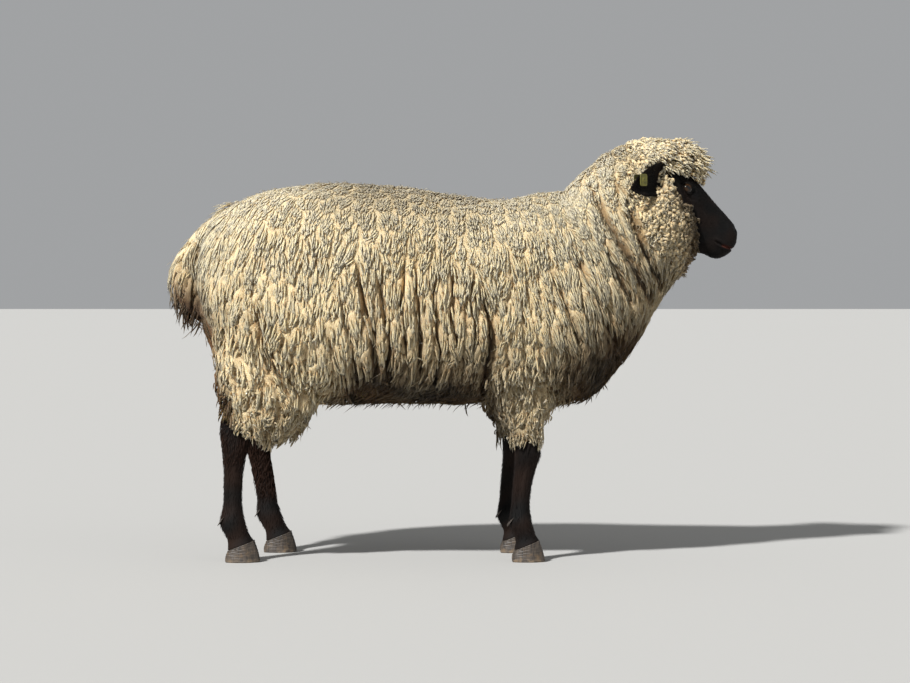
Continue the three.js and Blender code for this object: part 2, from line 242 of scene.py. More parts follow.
def ring_grid(rows, sides, side=0.0, inset=0.0, spread=0.0):
    """Superellipse rings: across is |sin|^(2/fullness) and up is |cos|^(2/fullness) of the turn. rows hold x
    and z of the upper and the lower edge, half width, fullness above and below the widest level, and that
    level's share of the height. inset draws the rings in, and spread crowds the points at the flanks."""
    v = np.arange(sides) / sides
    angle = 2 * math.pi * v + spread * np.sin(4 * math.pi * v)
    rise, out = np.cos(angle), np.sin(angle)
    hx, hz, lx, lz, half, above, below, level = (rows[:, i, None] for i in range(8))
    inset = np.broadcast_to(np.asarray(inset, float).reshape(-1, 1), hx.shape)
    span = np.hypot(hx - lx, hz - lz)
    keep = np.maximum(span / 2 - inset, 2) / (span / 2)
    cx, cz = lx + (hx - lx) * level, lz + (hz - lz) * level
    full = np.where(rise > 0, above, below)
    reach = np.abs(rise) ** (2 / full) * keep
    x = cx + np.where(rise > 0, hx - cx, lx - cx) * reach
    z = cz + np.where(rise > 0, hz - cz, lz - cz) * reach
    y = side + np.sign(out) * np.abs(out) ** (2 / full) * np.maximum(half - inset, 2)
    return np.stack([x, np.broadcast_to(y, x.shape), z], -1)


def spaced(sections):
    """A six-column table widened to the eight columns of ring_grid, with its widest level in the middle."""
    table = np.asarray(sections, float)
    return np.column_stack([table, table[:, 5], np.full(len(table), 0.5)])


def domed(grid, count, bulge):
    """The last ring carried on to a rounded end: count rings that shrink while they move outwards."""
    centre = grid[-1].mean(0)
    ahead = unit(centre - grid[-3].mean(0))
    turns = np.linspace(0, math.pi / 2, count + 2)[1:-1, None, None]
    rounds = centre + (grid[-1] - centre) * np.cos(turns) + ahead * bulge * np.sin(turns)
    return np.concatenate([grid, rounds])


# ---- The skin's parts ----


def torso_places(rings, start=0.0, stop=18.0):
    """Places along TORSO in even steps over its surface, closer on the flank, and each one's share of the
    run. The run is the sum of each step's longer edge and half its change of width."""
    fine = np.linspace(0, 18, 500)
    rows = through(spaced(TORSO), fine)
    step = np.diff(rows[:, :5], axis=0)
    run = np.maximum(np.hypot(step[:, 0], step[:, 1]), np.hypot(step[:, 2], step[:, 3]))
    run = run + 0.5 * np.abs(step[:, 4])
    run = run * (1 + 1.2 * bell(rows[1:, 0] + 70, 190))
    run = np.concatenate([[0], np.cumsum(run)]) / run.sum()
    share = np.linspace(*np.interp([start, stop], fine, run), rings)
    return np.interp(share, run, fine), share


def torso_grid(rings, sides, start=0.0, stop=18.0, coat=1.0):
    """The trunk, neck and poll as one bent tube, drawn in by the coat's depth."""
    at = torso_places(rings, start, stop)[0]
    depth = through(np.array(TORSO_COAT, float)[:, None], at)[:, 0] * coat
    return ring_grid(through(spaced(TORSO), at), sides, inset=depth)


def standing(sections, fore, hand):
    """A leg's table moved to where that leg stands."""
    table = spaced(sections)
    if hand > 0 and fore:
        table[:, [0, 2]] -= LEFT_FORE_BACK
    elif hand > 0:
        for x, z in ((0, 1), (2, 3)):
            fade = np.clip(1 - (np.maximum(table[:, z], 0) / STRIDE_TOP) ** 2, 0, 1)
            table[:, x] += LEFT_HIND_AHEAD * fade
    return table


def track(fore, hand):
    """A leg's distance from the middle, signed."""
    return hand * (FORE_TRACK if fore else HIND_TRACK)


def upper_leg_grid(fore, hand, inset, rings=40, sides=36):
    """The woolled part of a leg, drawn in by inset."""
    table = standing(FOREARM if fore else THIGH, fore, hand)
    at = np.linspace(0, len(table) - 1, rings)
    return ring_grid(through(table, at), sides, side=track(fore, hand), inset=inset)


def shank_grid(fore, hand, rings=110, sides=44):
    """The leg below the wool: a cannon with a groove before its tendon, knuckles at the knee or hock and the
    fetlock, and a foot parting into two toes. Each feature is a bell of the distance from its middle."""
    table = standing(FORE_SHANK if fore else HIND_SHANK, fore, hand)
    at = np.linspace(0, len(table) - 1, rings)
    grid = ring_grid(through(table, at), sides, side=track(fore, hand))
    centre = grid.mean(1, keepdims=True)
    away = grid - centre
    x, y, z = away[..., 0], away[..., 1], grid[..., 2]
    cannon = ease(70, 110, z) * (1 - ease(195, 225, z))
    groove = 2.6 * cannon * bell(x + 6, 5)
    parting = 6.5 * (1 - ease(38, 74, z)) * bell(y, 5)
    size = np.linalg.norm(away, axis=-1)
    knee = 1.8 * bell(z - 238, 14) * bell(np.abs(y) - 18, 8)
    knuckle = knee + 1.5 * bell(z - 84, 12) * bell(np.abs(y) - 15, 7)
    shrink = np.stack([parting * np.sign(x), (groove - knuckle) * np.sign(y), 0 * x], -1)
    return centre + away - shrink * np.minimum(1, size / 12)[..., None]


def tail_grid(inset, rings=30, sides=28):
    """The tail under its wool, drawn in by inset."""
    at = np.linspace(0.0, len(TAIL) - 1.2, rings)
    return ring_grid(through(spaced(TAIL), at), sides, inset=inset)


def face_stations():
    """Places along the face's table, crowded at the eyes and at the muzzle."""
    wanted = np.linspace(0, 1, 216)
    places = np.linspace(0, 9, 400)
    crowd = 1 + 1.5 * bell(places - 2.1, 0.75) + 1.8 * bell(places - 7.9, 1.5)
    share = np.concatenate([[0], np.cumsum((crowd[1:] + crowd[:-1]) / 2)])
    return np.interp(wanted, share / share[-1], places)


def eye_frame(hand):
    """The eye's centre and its axes: towards the nose along the lids, up across them, and outwards."""
    out = unit(np.array([0.30, 0.94 * hand, 0.16]))
    nose = np.array([0.74, 0.0, -0.67])
    nose = unit(nose - out * (nose @ out))
    up = np.cross(nose, out) * -hand
    return EYE * (1, hand, 1), nose, up, out


def lidded(points, hand):
    """Wraps the skin round the eyeball: a lid's thickness above it, and under it inside the almond opening,
    which is |along / 15.8|^2.3 + (across / height)^2 = 1. The brow, folds and tear pit are bells."""
    centre, nose, up, out = eye_frame(hand)
    q = points - centre
    along, across, outward = q @ nose, q @ up, q @ out
    half_height = np.where(across > 0, 9.2, 7.4)
    almond = np.sqrt(np.abs(along / 15.8) ** 2.3 + (across / half_height) ** 2)
    rim = ease(0.86, 1.04, almond)
    lid = 12.2 + (EYE_RADIUS + 2.5 - 12.2) * rim - 0.9 * ease(1.15, 1.5, almond)
    wrapped = centre + unit(q) * lid[..., None]
    blend = np.where(outward > 0, ease(1.5, 2.7, almond), 1.0)[..., None]
    shaped = wrapped * (1 - blend) + points * blend
    brow = 3.2 * bell(across - 19, 8) * bell(along + 1, 17)
    fold = -1.1 * bell(across - 12.2, 1.5) * bell(along, 12) - 0.8 * bell(across + 11, 1.6) * bell(along, 12)
    pit = -2.4 * bell(along - 21, 5) * bell(across + 3, 4)
    bag = 1.2 * bell(across + 13, 4) * bell(along, 14)
    lift = (brow + fold + pit + bag) * (outward > 0) * bell(np.minimum(outward - 10, 0), 14)
    return shaped + out * lift[..., None]


def muzzled(points):
    """Nostrils, the groove between them, the mouth's slit with its lips, and the crest below the eye: each is
    a bell of the distance from its middle line, moved along the way out from the muzzle's middle."""
    x, y, z = points[..., 0], points[..., 1], points[..., 2]
    flat = points.reshape(-1, 3)
    mouth = side_distance(flat[:, 0], flat[:, 2], [(640, 667), (609, 678.5), (592, 684), (574, 694)])
    mouth = mouth.reshape(x.shape)
    slit = 4.2 * bell(mouth, 1.5) - 1.5 * bell(mouth - 5.5, 3.2)
    slit = slit * ease(568, 582, x)
    outward = unit(points - MUZZLE_MIDDLE)
    moved = points - outward * slit[..., None]
    for hand in (-1, 1):
        wing = np.array([621.0, 15.5 * hand, 711.0])
        long = unit(np.array([-0.45, 0.42 * hand, 0.80]))
        q = points - wing
        along = q @ long
        off = np.linalg.norm(q - along[..., None] * long, axis=-1)
        bend = off - 1.6 * (along / 9) ** 2
        hole = 7.5 * bell(bend, 3.4) * bell(along, 7.5)
        rim = 1.7 * bell(off - 7.2, 2.6) * bell(along, 9.5)
        moved = moved - outward * (hole - rim)[..., None]
    groove = 2.3 * bell(y, 2.0) * ease(612, 620, x) * (1 - ease(716, 726, z))
    moved = moved - outward * groove[..., None]
    crest = 2.2 * bell(side_distance(flat[:, 0], flat[:, 2], [(528, 786), (565, 737)]), 6)
    hollow = 2.0 * bell(side_distance(flat[:, 0], flat[:, 2], [(556, 782), (596, 735)]), 8)
    moved[..., 1] += np.sign(y) * (crest - hollow).reshape(x.shape) * ease(12, 24, np.abs(y))
    return moved


def face_grid():
    """The head from the poll to the lips, with its eyelids and muzzle."""
    grid = ring_grid(through(FACE, face_stations()), 208, inset=1.2, spread=0.2)
    grid = domed(grid, 5, 2.5)
    for hand in (-1, 1):
        near = np.sign(grid[..., 1]) == hand
        grid = np.where(near[..., None], lidded(grid, hand), grid)
    return muzzled(grid)


def ear_grid(hand, rings=64, sides=40):
    """A leaf rolled about its length, thick at the root, with a rounded rim. Its half width follows the sine
    of the share of its length, and its tip droops by that share squared."""
    share = np.linspace(0, 1, rings)[:, None]
    along = EAR_TIP - EAR_ROOT
    length = unit(along)
    wide = unit(np.array([0, 0, 1.0]) - length * length[2])
    hollow = np.cross(length, wide)
    half = 37.0 * np.maximum(0.05, np.sin(math.pi * np.clip(0.2 + 0.795 * share, 0, 1)) ** 0.62)
    radius = 2 * half / 1.5
    thick = 5.4 - 2.4 * share
    angle = 2 * math.pi * np.arange(sides)[None] / sides
    roll = np.cos(angle) * 0.75
    rim = 1 + 0.7 * bell(np.abs(np.cos(angle)) - 1, 0.16)
    ribs = 0.5 * np.sin(roll * 16) * (np.sin(angle) > 0) * (1 - share)
    reach = radius + np.sign(np.sin(angle)) * np.abs(np.sin(angle)) ** 0.6 * thick * rim / 2 + ribs
    a = (np.sin(roll) * reach)[..., None]
    b = (radius - np.cos(roll) * reach)[..., None]
    droop = np.array([-2.0, -2.0, -7.0]) * (share**2)[..., None]
    grid = EAR_ROOT + along * share[..., None] + wide * a + hollow * b + droop
    return grid * (1, hand, 1)


def ball_grid(rings, sides, pole):
    """A ball of radius 1 and each place's angle from its pole, which is left open by the angle pole."""
    lift, turn = np.meshgrid(np.linspace(pole, math.pi - pole, rings), 2 * math.pi * np.arange(sides) / sides,
                             indexing="ij")
    return np.stack([np.sin(lift) * np.cos(turn), np.sin(lift) * np.sin(turn), np.cos(lift)], -1), lift


def crown_grid(rings=40, sides=48):
    """The ball of wool on the forehead: an ellipsoid tipped towards the nose."""
    x, y, z = np.moveaxis(ball_grid(rings, sides, 0.04)[0] * CROWN_SIZE, -1, 0)
    c, s = math.cos(CROWN_TILT), math.sin(CROWN_TILT)
    return np.stack([c * x + s * z, y, c * z - s * x], -1) + CROWN_CENTRE


def joined(pieces):
    """One solid from overlapping closed ones, by exact union."""
    base = pieces[0]
    for other in pieces[1:]:
        cut = base.modifiers.new("join", "BOOLEAN")
        cut.operation, cut.solver, cut.object = "UNION", "MANIFOLD", other
        bpy.context.view_layer.update()
        made = bpy.data.meshes.new_from_object(base.evaluated_get(bpy.context.evaluated_depsgraph_get()))
        base.modifiers.clear()
        base.data = made
        bpy.data.objects.remove(other)
    return base


def build_skin():
    """The one skin: trunk, face, dock, legs and ears as closed tubes, joined. Each tube has its own patch."""
    parts = [
        tube_object("skin", torso_grid(100, 64, 0.9, 17.6), TRUNK_PATCH, torso_places(100, 0.9, 17.6)[1]),
        tube_object("face", face_grid(), HEAD_PATCH),
        tube_object("dock", tail_grid(34), TAIL_PATCH),
    ]
    for i, (fore, hand) in enumerate(LEGS):
        left = 0.01 + 0.25 * i
        upper = upper_leg_grid(fore, hand, 17 if fore else 24)
        parts.append(tube_object("upper", upper, (left, 0.01, left + 0.08, 0.24)))
        parts.append(tube_object("shank", shank_grid(fore, hand), (left + 0.09, 0.01, left + 0.235, 0.24)))
    for i, hand in enumerate((-1, 1)):
        left = 0.51 + 0.24 * i
        parts.append(tube_object("ear", ear_grid(hand), (left, 0.26, left + 0.23, 0.385)))
    for part in parts:
        facing_out(part)
    return joined(parts)


def facing_out(made):
    """Turns a closed mesh's faces outwards, told by the sign of its volume."""
    mesh = made.data
    mesh.calc_loop_triangles()
    corners = read(mesh.loop_triangles, "vertices", 3, np.int32)
    a, b, c = read(mesh.vertices, "co", 3)[corners].transpose(1, 0, 2)
    if np.einsum("ij,ij->i", a, np.cross(b, c)).sum() < 0:
        mesh.flip_normals()


# ---- The lay of the coat ----

# Places in the side view with, for each: how far a lock falls along the skin, the way it falls (degrees, -90
# is straight down and -60 is down and towards the nose), its girth, its curl, its grime with painted shade
# (real dirt on the legs, belly and tail, and painted shade under the belly and chest, on the lower flank and
# on the cheeks), its grey and how thick it grows
COAT = [
    (-400, 800, 12, -110, 4.6, 0.10, 0.08, 0.45, 1.5), (-200, 815, 9, -100, 4.2, 0.10, 0.44, 1.00, 1.6),
    (0, 795, 9, -95, 4.2, 0.10, 0.44, 1.00, 1.6), (150, 790, 11, -85, 4.4, 0.10, 0.28, 0.80, 1.5),
    (-490, 740, 22, -112, 5.6, 0.05, 0.05, 0.25, 1.1), (-400, 690, 26, -98, 6.0, 0.08, 0.05, 0.20, 1.0),
    (-200, 690, 24, -93, 6.2, 0.10, 0.08, 0.30, 1.0), (0, 690, 24, -90, 6.2, 0.10, 0.08, 0.30, 1.0),
    (150, 690, 24, -84, 6.0, 0.10, 0.04, 0.15, 1.1), (-430, 570, 32, -97, 6.2, 0.08, 0.12, 0.05, 1.0),
    (-250, 560, 30, -92, 6.8, 0.12, 0.12, 0.05, 1.0), (-80, 560, 32, -90, 6.8, 0.12, 0.05, 0.05, 1.0),
    (100, 560, 30, -88, 6.4, 0.10, 0.03, 0.05, 1.1), (230, 560, 30, -76, 6.0, 0.08, 0.03, 0.05, 1.3),
    (-450, 450, 26, -95, 7.4, 0.25, 0.16, 0.05, 0.9), (-300, 450, 28, -92, 7.4, 0.25, 0.18, 0.05, 0.9),
    (-120, 450, 30, -90, 7.2, 0.20, 0.36, 0.05, 0.9), (60, 450, 26, -90, 7.0, 0.25, 0.46, 0.05, 0.9),
    (235, 470, 28, -80, 6.4, 0.20, 0.20, 0.05, 1.0), (-150, 360, 34, -84, 7.4, 0.25, 1.00, 0.05, 0.8),
    (50, 345, 26, -80, 7.4, 0.35, 1.10, 0.05, 0.8), (-420, 360, 16, -92, 7.8, 0.55, 0.22, 0.05, 0.95),
    (-450, 290, 18, -90, 7.2, 0.55, 0.50, 0.05, 1.0), (160, 380, 14, -90, 7.0, 0.60, 0.10, 0.05, 1.0),
    (320, 440, 28, -74, 6.2, 0.15, 1.40, 0.05, 1.0),
    (160, 300, 18, -90, 6.4, 0.60, 0.40, 0.05, 1.1), (290, 370, 26, -80, 6.6, 0.15, 1.05, 0.05, 1.0),
    (-530, 720, 40, -118, 5.4, 0.03, 0.05, 0.15, 1.3), (-575, 650, 62, -112, 5.2, 0.03, 0.12, 0.05, 1.5),
    (-600, 570, 60, -100, 5.0, 0.03, 0.60, 0.0, 1.6),
    (240, 760, 20, -64, 5.6, 0.10, 0.05, 0.20, 1.4), (330, 800, 20, -60, 5.4, 0.10, 0.08, 0.10, 1.8),
    (300, 650, 28, -62, 5.8, 0.08, 0.06, 0.05, 1.7), (390, 700, 24, -60, 5.4, 0.15, 0.10, 0.05, 1.9),
    (360, 560, 28, -66, 6.0, 0.10, 0.34, 0.05, 1.6), (440, 610, 26, -66, 5.6, 0.15, 0.60, 0.05, 1.7),
    (340, 880, 12, -62, 4.6, 0.15, 0.08, 0.15, 1.5), (430, 905, 10, -50, 4.6, 0.45, 0.14, 0.15, 1.5),
    (440, 780, 7, -75, 6.0, 0.85, 0.25, 0.10, 1.2), (490, 760, 5, -80, 6.2, 1.00, 0.42, 0.40, 1.3),
    (500, 700, 8, -85, 5.8, 0.85, 0.50, 0.35, 1.2), (500, 880, 8, -25, 5.2, 0.80, 0.27, 0.25, 1.4),
    (530, 850, 9, -35, 5.2, 0.90, 0.34, 0.30, 1.4), (455, 830, 9, -60, 5.4, 0.70, 0.20, 0.10, 1.2),
]
COAT_BLUR = 62.0

# Partings in the fleece: half width, depth as a share of the coat, then places along them in the side view
PARTINGS = [
    (9, 0.85, [(-203, 650), (-194, 587), (-181, 539), (-166, 488), (-160, 407)]),
    (7, 0.80, [(-148, 649), (-146, 565), (-133, 466), (-133, 378)]),
    (6, 0.60, [(-100, 664), (-104, 565), (-93, 455)]),
    (7, 0.75, [(-74, 649), (-76, 565), (-65, 455), (-68, 400)]),
    (6, 0.70, [(-36, 642), (-41, 565), (-27, 455), (-32, 378)]),
    (6, 0.60, [(5, 649), (5, 565), (12, 466)]),
    (6, 0.60, [(45, 642), (43, 565), (52, 466)]),
    (11, 0.90, [(60, 600), (80, 532), (83, 455), (69, 378), (65, 341)]),
    (8, 0.75, [(-424, 565), (-412, 477), (-390, 433), (-366, 407), (-344, 363)]),
    (14, 0.95, [(285, 830), (333, 737), (380, 664), (445, 565)]),
    (12, 0.90, [(350, 830), (395, 737), (434, 649), (474, 587)]),
    (9, 0.80, [(331, 690), (360, 627), (399, 561)]),
    (7, 0.60, [(255, 690), (285, 620), (330, 540), (360, 470)]),
    (6, 0.55, [(215, 640), (240, 560), (275, 480)]),
    (7, 0.60, [(-236, 565), (-221, 477), (-199, 378)]),
    (6, 0.50, [(-265, 499), (-247, 433), (-221, 363)]),
    (9, 0.95, [(-525, 560), (-540, 499), (-538, 451)]),
]


def coat_field(points):
    """The columns of COAT at any points, as a mean of its places weighted by a bell of the distance."""
    table = np.array(COAT, float)
    near = (points[:, None, 0] - table[:, 0]) ** 2 + (points[:, None, 2] - table[:, 1]) ** 2
    weight = np.exp(-near / (2 * COAT_BLUR**2)) + 1e-12 / (1 + near)
    weight /= weight.sum(1, keepdims=True)
    angle = np.radians(table[:, 3])
    columns = np.column_stack([table[:, 2], np.cos(angle), np.sin(angle), table[:, 4:]])
    return (weight @ columns).T


def ripple(points, wave, seed):
    """Smooth noise from -1 to 1: the mean of sines that run in fixed random directions."""
    draw = np.random.default_rng(seed)
    ways = unit(draw.normal(size=(7, 3))) * (2 * math.pi / wave) * draw.uniform(0.6, 1.5, (7, 1))
    return np.sin(points @ ways.T + draw.uniform(0, 6.3, 7)).mean(1) * 1.6


def nearest(points, seeds, lay, squash):
    """For each point the nearest seed, where distances along the seed's lay count less by its squash, and how
    far inside its share of the skin the point lies: 0 on the border with the next seed, 1 at the seed."""
    found, inside = np.empty(len(points), int), np.empty(len(points))
    squash = 1 - squash**2
    for start in range(0, len(points), 1500):
        own = slice(start, start + 1500)
        gap = points[own, None] - seeds[None]
        along = np.einsum("ijk,jk->ij", gap, lay)
        far = np.sqrt(np.maximum(np.einsum("ijk,ijk->ij", gap, gap) - squash * along**2, 0))
        pair = np.argpartition(far, 1, axis=1)[:, :2]
        close = np.take_along_axis(far, pair, 1)
        first = close.argmin(1)
        found[own] = pair[np.arange(len(pair)), first]
        inside[own] = 1 - close.min(1) / np.maximum(close.max(1), 1e-6)
    return found, inside


class Ground:
    """The finished skin as arrays, in mm: its triangles' corners, normals and unwrapped corners, and the
    depth of the coat over each of them."""

    def __init__(self, made, outline):
        mesh = made.data
        mesh.calc_loop_triangles()
        corners = read(mesh.loop_triangles, "vertices", 3, np.int32)
        normals = read(mesh.vertex_normals, "vector", 3)
        loops = read(mesh.loop_triangles, "loops", 3, np.int32)
        self.uv = read(mesh.uv_layers["OFBake"].uv, "vector", 2)[loops]
        self.corners = read(mesh.vertices, "co", 3) / MM
        self.points = self.corners[corners]
        self.normals = normals[corners]
        self.tree = BVHTree.FromPolygons(self.corners.tolist(), corners[~self.on_ear()].tolist())
        self.reach_at = outline.reach(self.corners, normals)
        self.reach_at[corners[self.on_ear()]] = 0
        self.reach = self.reach_at[corners]
        a, b, c = self.points.transpose(1, 0, 2)
        self.area = np.linalg.norm(np.cross(b - a, c - a), axis=1) / 2

    def on_ear(self):
        """Whether each triangle is one of the ears', told by its place on the unwrap."""
        u, v = self.uv.mean(1).T
        return (u > 0.505) & (v > 0.255) & (v < 0.39)

    def depth_under(self, points, normals):
        """Distance from points of the coat's outline down to the skin, against their normals."""
        found = [self.tree.ray_cast(p, n)[3] for p, n in zip(points.tolist(), (-normals).tolist())]
        return np.array([UNKNOWN_DEPTH if far is None else min(far, DEEPEST) for far in found])

    def scatter(self, count, share, draw):
        """Places spread over the triangles by area times share: points, normals, unwrapped places and the
        coat's depth. More are drawn than wanted, and of those in one small cube only the first is kept."""
        running = np.cumsum(self.area * share)
        many = int(2.2 * count)
        spots = (np.arange(many) + draw.uniform(0, 1, many)) / many * running[-1]
        face = np.minimum(np.searchsorted(running, spots), len(running) - 1)
        a, b = np.sqrt(draw.uniform(0, 1, many)), draw.uniform(0, 1, many)
        mix = np.stack([1 - a, a * (1 - b), a * b], -1)
        points, normals, uv = (np.einsum("ij,ijk->ik", mix, corners[face])
                               for corners in (self.points, self.normals, self.uv))
        step = np.round(np.log(1.5 * running[-1] / count / np.maximum(share[face], 1e-6)) / 0.36)
        cube = np.column_stack([step, np.floor(points / np.exp(0.18 * step)[:, None])])
        own = np.unique(cube, axis=0, return_index=True)[1]
        own = np.sort(draw.permutation(own)[:count])
        return points[own], unit(normals[own]), uv[own], np.einsum("ij,ij->i", mix, self.reach[face])[own]


class Outline:
    """The coat's outer surface, as separate closed tubes, for finding how far it lies from the skin."""

    def __init__(self, grids):
        self.trees = []
        for grid in grids:
            points = tube_points(grid)
            loops, counts = tube_faces(*grid.shape[:2])
            faces = [corners.tolist() for corners in np.split(loops, np.cumsum(counts)[:-1])]
            tree = BVHTree.FromPolygons(points.tolist(), faces)
            normal = tree.ray_cast(Vector(points.mean(0)), Vector((0, 1, 0.01)))[1]
            self.trees.append((tree, 1 if normal.y > 0 else -1))

    def reach(self, points, normals):
        """Distance along each normal to the outside, or 0 where the point is already outside."""
        far = np.zeros(len(points))
        for tree, flip in self.trees:
            for i, (place, way) in enumerate(zip(points.tolist(), normals.tolist())):
                _, normal, _, distance = tree.ray_cast(place, way)
                if distance is not None and flip * normal.dot(way) > 0 and far[i] < distance < FAR_SIDE:
                    far[i] = distance
        return far


def lock_shape(rings, sides):
    """One lock's faces, as on a tube closed by a cap at the root and a fan at the tip: the corners of its
    faces end to end, their counts, and each corner's place round and along the lock from 0 to 1."""
    r, k = np.meshgrid(np.arange(rings - 1), np.arange(sides), indexing="ij")
    near, far = r * sides, (r + 1) * sides
    nxt = (k + 1) % sides
    quads = np.stack([near + k, near + nxt, far + nxt, far + k], -1).reshape(-1)
    quad_u = np.stack([k, k + 1, k + 1, k], -1).reshape(-1) / sides
    quad_v = np.stack([r, r, r + 1, r + 1], -1).reshape(-1) / rings
    k = np.arange(sides)
    last = (rings - 1) * sides
    tip = np.stack([last + k, last + (k + 1) % sides, np.full(sides, rings * sides)], -1).reshape(-1)
    tip_u = np.stack([k, k + 1, k + 0.5], -1).reshape(-1) / sides
    tip_v = np.tile([(rings - 1) / rings, (rings - 1) / rings, 1.0], sides)
    loops = np.concatenate([quads, tip, k[::-1]])
    u = np.concatenate([quad_u, tip_u, np.full(sides, 0.5)])
    v = np.concatenate([quad_v, tip_v, np.zeros(sides)])
    return loops, np.concatenate([np.full(len(quads) // 4, 4), np.full(sides, 3), [sides]]), u, v


def lock_meshes(name, material, slot, path, across, thin, uv, marks, sides=3, flat=0.8):
    """Closed tapered tubes along paths, in pieces of under MOST_TRIANGLES.

    path is locks by rings by 3, across has each lock's sideways unit vector, and thin is the radius at each
    ring. The last ring of a path is its tip, a single point. flat is the section's thickness as a share of
    its width.
    """
    count, rings = path.shape[0], path.shape[1] - 1
    across = np.broadcast_to(across[:, None], path.shape)
    lift = unit(np.cross(unit(np.gradient(path, axis=1)), across))
    turn = 2 * math.pi * np.arange(sides) / sides
    spread = (across[:, :-1, None] * np.cos(turn)[:, None]
              + lift[:, :-1, None] * np.sin(turn)[:, None] * flat)
    body = path[:, :-1, None] + spread * thin[:, :-1, None, None]
    points = np.concatenate([body.reshape(count, -1, 3), path[:, -1:]], 1)
    each = points.shape[1]
    loops, counts, u, v = lock_shape(rings, sides)
    strand = np.concatenate([np.repeat(np.arange(rings) / rings, sides), [1.0]])
    parts = max(1, math.ceil(count * (counts - 2).sum() / MOST_TRIANGLES))
    for part in range(parts):
        own = slice(part * count // parts, (part + 1) * count // parts)
        number = own.stop - own.start
        shift = np.arange(number)[:, None] * each
        patch = uv[own, None] + (np.stack([u, v], -1) - 0.5) * TUFT_PATCH
        long = np.linalg.norm(np.diff(path[own], axis=1), axis=2).sum(1)
        fibre = np.stack([np.broadcast_to(u, (number, len(loops))), v * long[:, None]], -1)
        layers = {"OFBake": np.clip(patch, 0.0005, 0.9995).reshape(-1, 2), "Fibre": fibre.reshape(-1, 2)}
        own_marks = {key: np.repeat(value[own], each) for key, value in marks.items()}
        made = mesh_object(f"{name}_{part + 1}", points[own].reshape(-1, 3), (loops + shift).reshape(-1),
                           np.tile(counts, number), layers, own_marks | {"strand": np.tile(strand, number)})
        finish_piece(made, material, slot)


def strands(starts, *steps):
    """Paths from the starts. Each step is a direction, for all or for each, and how far along it each ring of
    a path lies. A path's places are the sum of its start and its steps."""
    path = starts[:, None]
    for way, far in steps:
        path = path + np.atleast_2d(way)[:, None] * np.asarray(far)[..., None]
    return path


def fallen(points, normals, way):
    """The unit direction along the skin in which a lock falls, with the back's locks parting at the spine and
    the belly's lying towards the rear."""
    aside = np.tanh(points[:, 1] / 40) * np.clip(normals[:, 2], 0, 1) * 0.9 * ease(-520, -440, points[:, 0])
    rear = np.clip(-normals[:, 2], 0, 1) ** 2 * 0.5
    return unit(flattened(np.stack([way[0] - rear, aside, way[1]], -1), normals) + 1e-4)


def turned(vectors, axes, angle):
    """Rodrigues' turn of vectors that are square to their axes."""
    return vectors * np.cos(angle)[:, None] + np.cross(axes, vectors) * np.sin(angle)[:, None]


def parted(points):
    """How deep the nearest parting cuts at each point, in mm, the sideways push of its lips, and the way down
    along it, which is longest beside it."""
    depth, push, down = np.zeros(len(points)), np.zeros((len(points), 3)), np.zeros((len(points), 3))
    x = points[:, 0] + np.where(points[:, 1] > 0, 15.0, 0.0) + 6 * ripple(points, 70, 5)
    z = points[:, 2]
    for width, deep, line in PARTINGS:
        far = side_distance(x, z, line)
        ahead, above = side_distance(x + 1, z, line), side_distance(x, z + 1, line)
        side = np.stack([ahead - far, 0 * far, above - far], -1)
        start = ease(-15, 60, line[0][1] - z)
        depth = np.maximum(depth, deep * start * (24 * bell(far, 0.58 * width) + 8 * bell(far, 2.2 * width)))
        push += side * (0.25 * width * bell(far, 1.3 * width))[:, None]
        way = side[:, [2, 1, 0]] * (-1, 0, 1)
        down += way * (-np.sign(way[:, 2]) * bell(far, 2.2 * width))[:, None]
    flank = ease(0.15, 0.5, np.abs(points[:, 1]) / 120)
    beside = bell(np.abs(points[:, 1]) - 64 - 4 * ripple(points, 60, 6), 8) * (points[:, 0] < -500)
    tail = 8 * beside * ease(505, 540, z) * (1 - ease(640, 730, z))
    return np.maximum(depth * flank, tail), push * flank[:, None], down * flank[:, None]


# the edge of the cheek's wool as x at heights z, and of the forehead's as z at places x
CHEEK_EDGE = ([700, 749, 771, 783, 807, 827, 847], [532, 528, 514, 500, 483, 476, 466])
FRINGE_EDGE = ([474, 500, 518, 523, 530, 540], [864, 851, 838, 820, 815, 820])


def wool_inside(points):
    """How far inside the wool of the head a point lies in the side view, in mm. Below 0 it is bare face."""
    behind = np.interp(points[:, 2], *CHEEK_EDGE) - points[:, 0]
    above = points[:, 2] - np.interp(points[:, 0], *FRINGE_EDGE)
    return np.maximum(behind, above) + 3 * ripple(points, 30, 31)


def eye_distance(points):
    """Distance to the centre of the nearer eye."""
    return np.linalg.norm(np.stack([points[:, 0], np.abs(points[:, 1]), points[:, 2]], -1) - EYE, axis=1)


def ear_distance(points):
    """Distance to the middle line of the nearer ear's free part, where height counts half."""
    mirrored = np.stack([points[:, 0], np.abs(points[:, 1]), points[:, 2]], -1)
    step = EAR_TIP - EAR_ROOT
    share = np.clip((mirrored - EAR_ROOT) @ step / (step @ step), 0.30, 1)
    return np.linalg.norm((mirrored - EAR_ROOT - share[:, None] * step) * (1, 1, 0.5), axis=1)


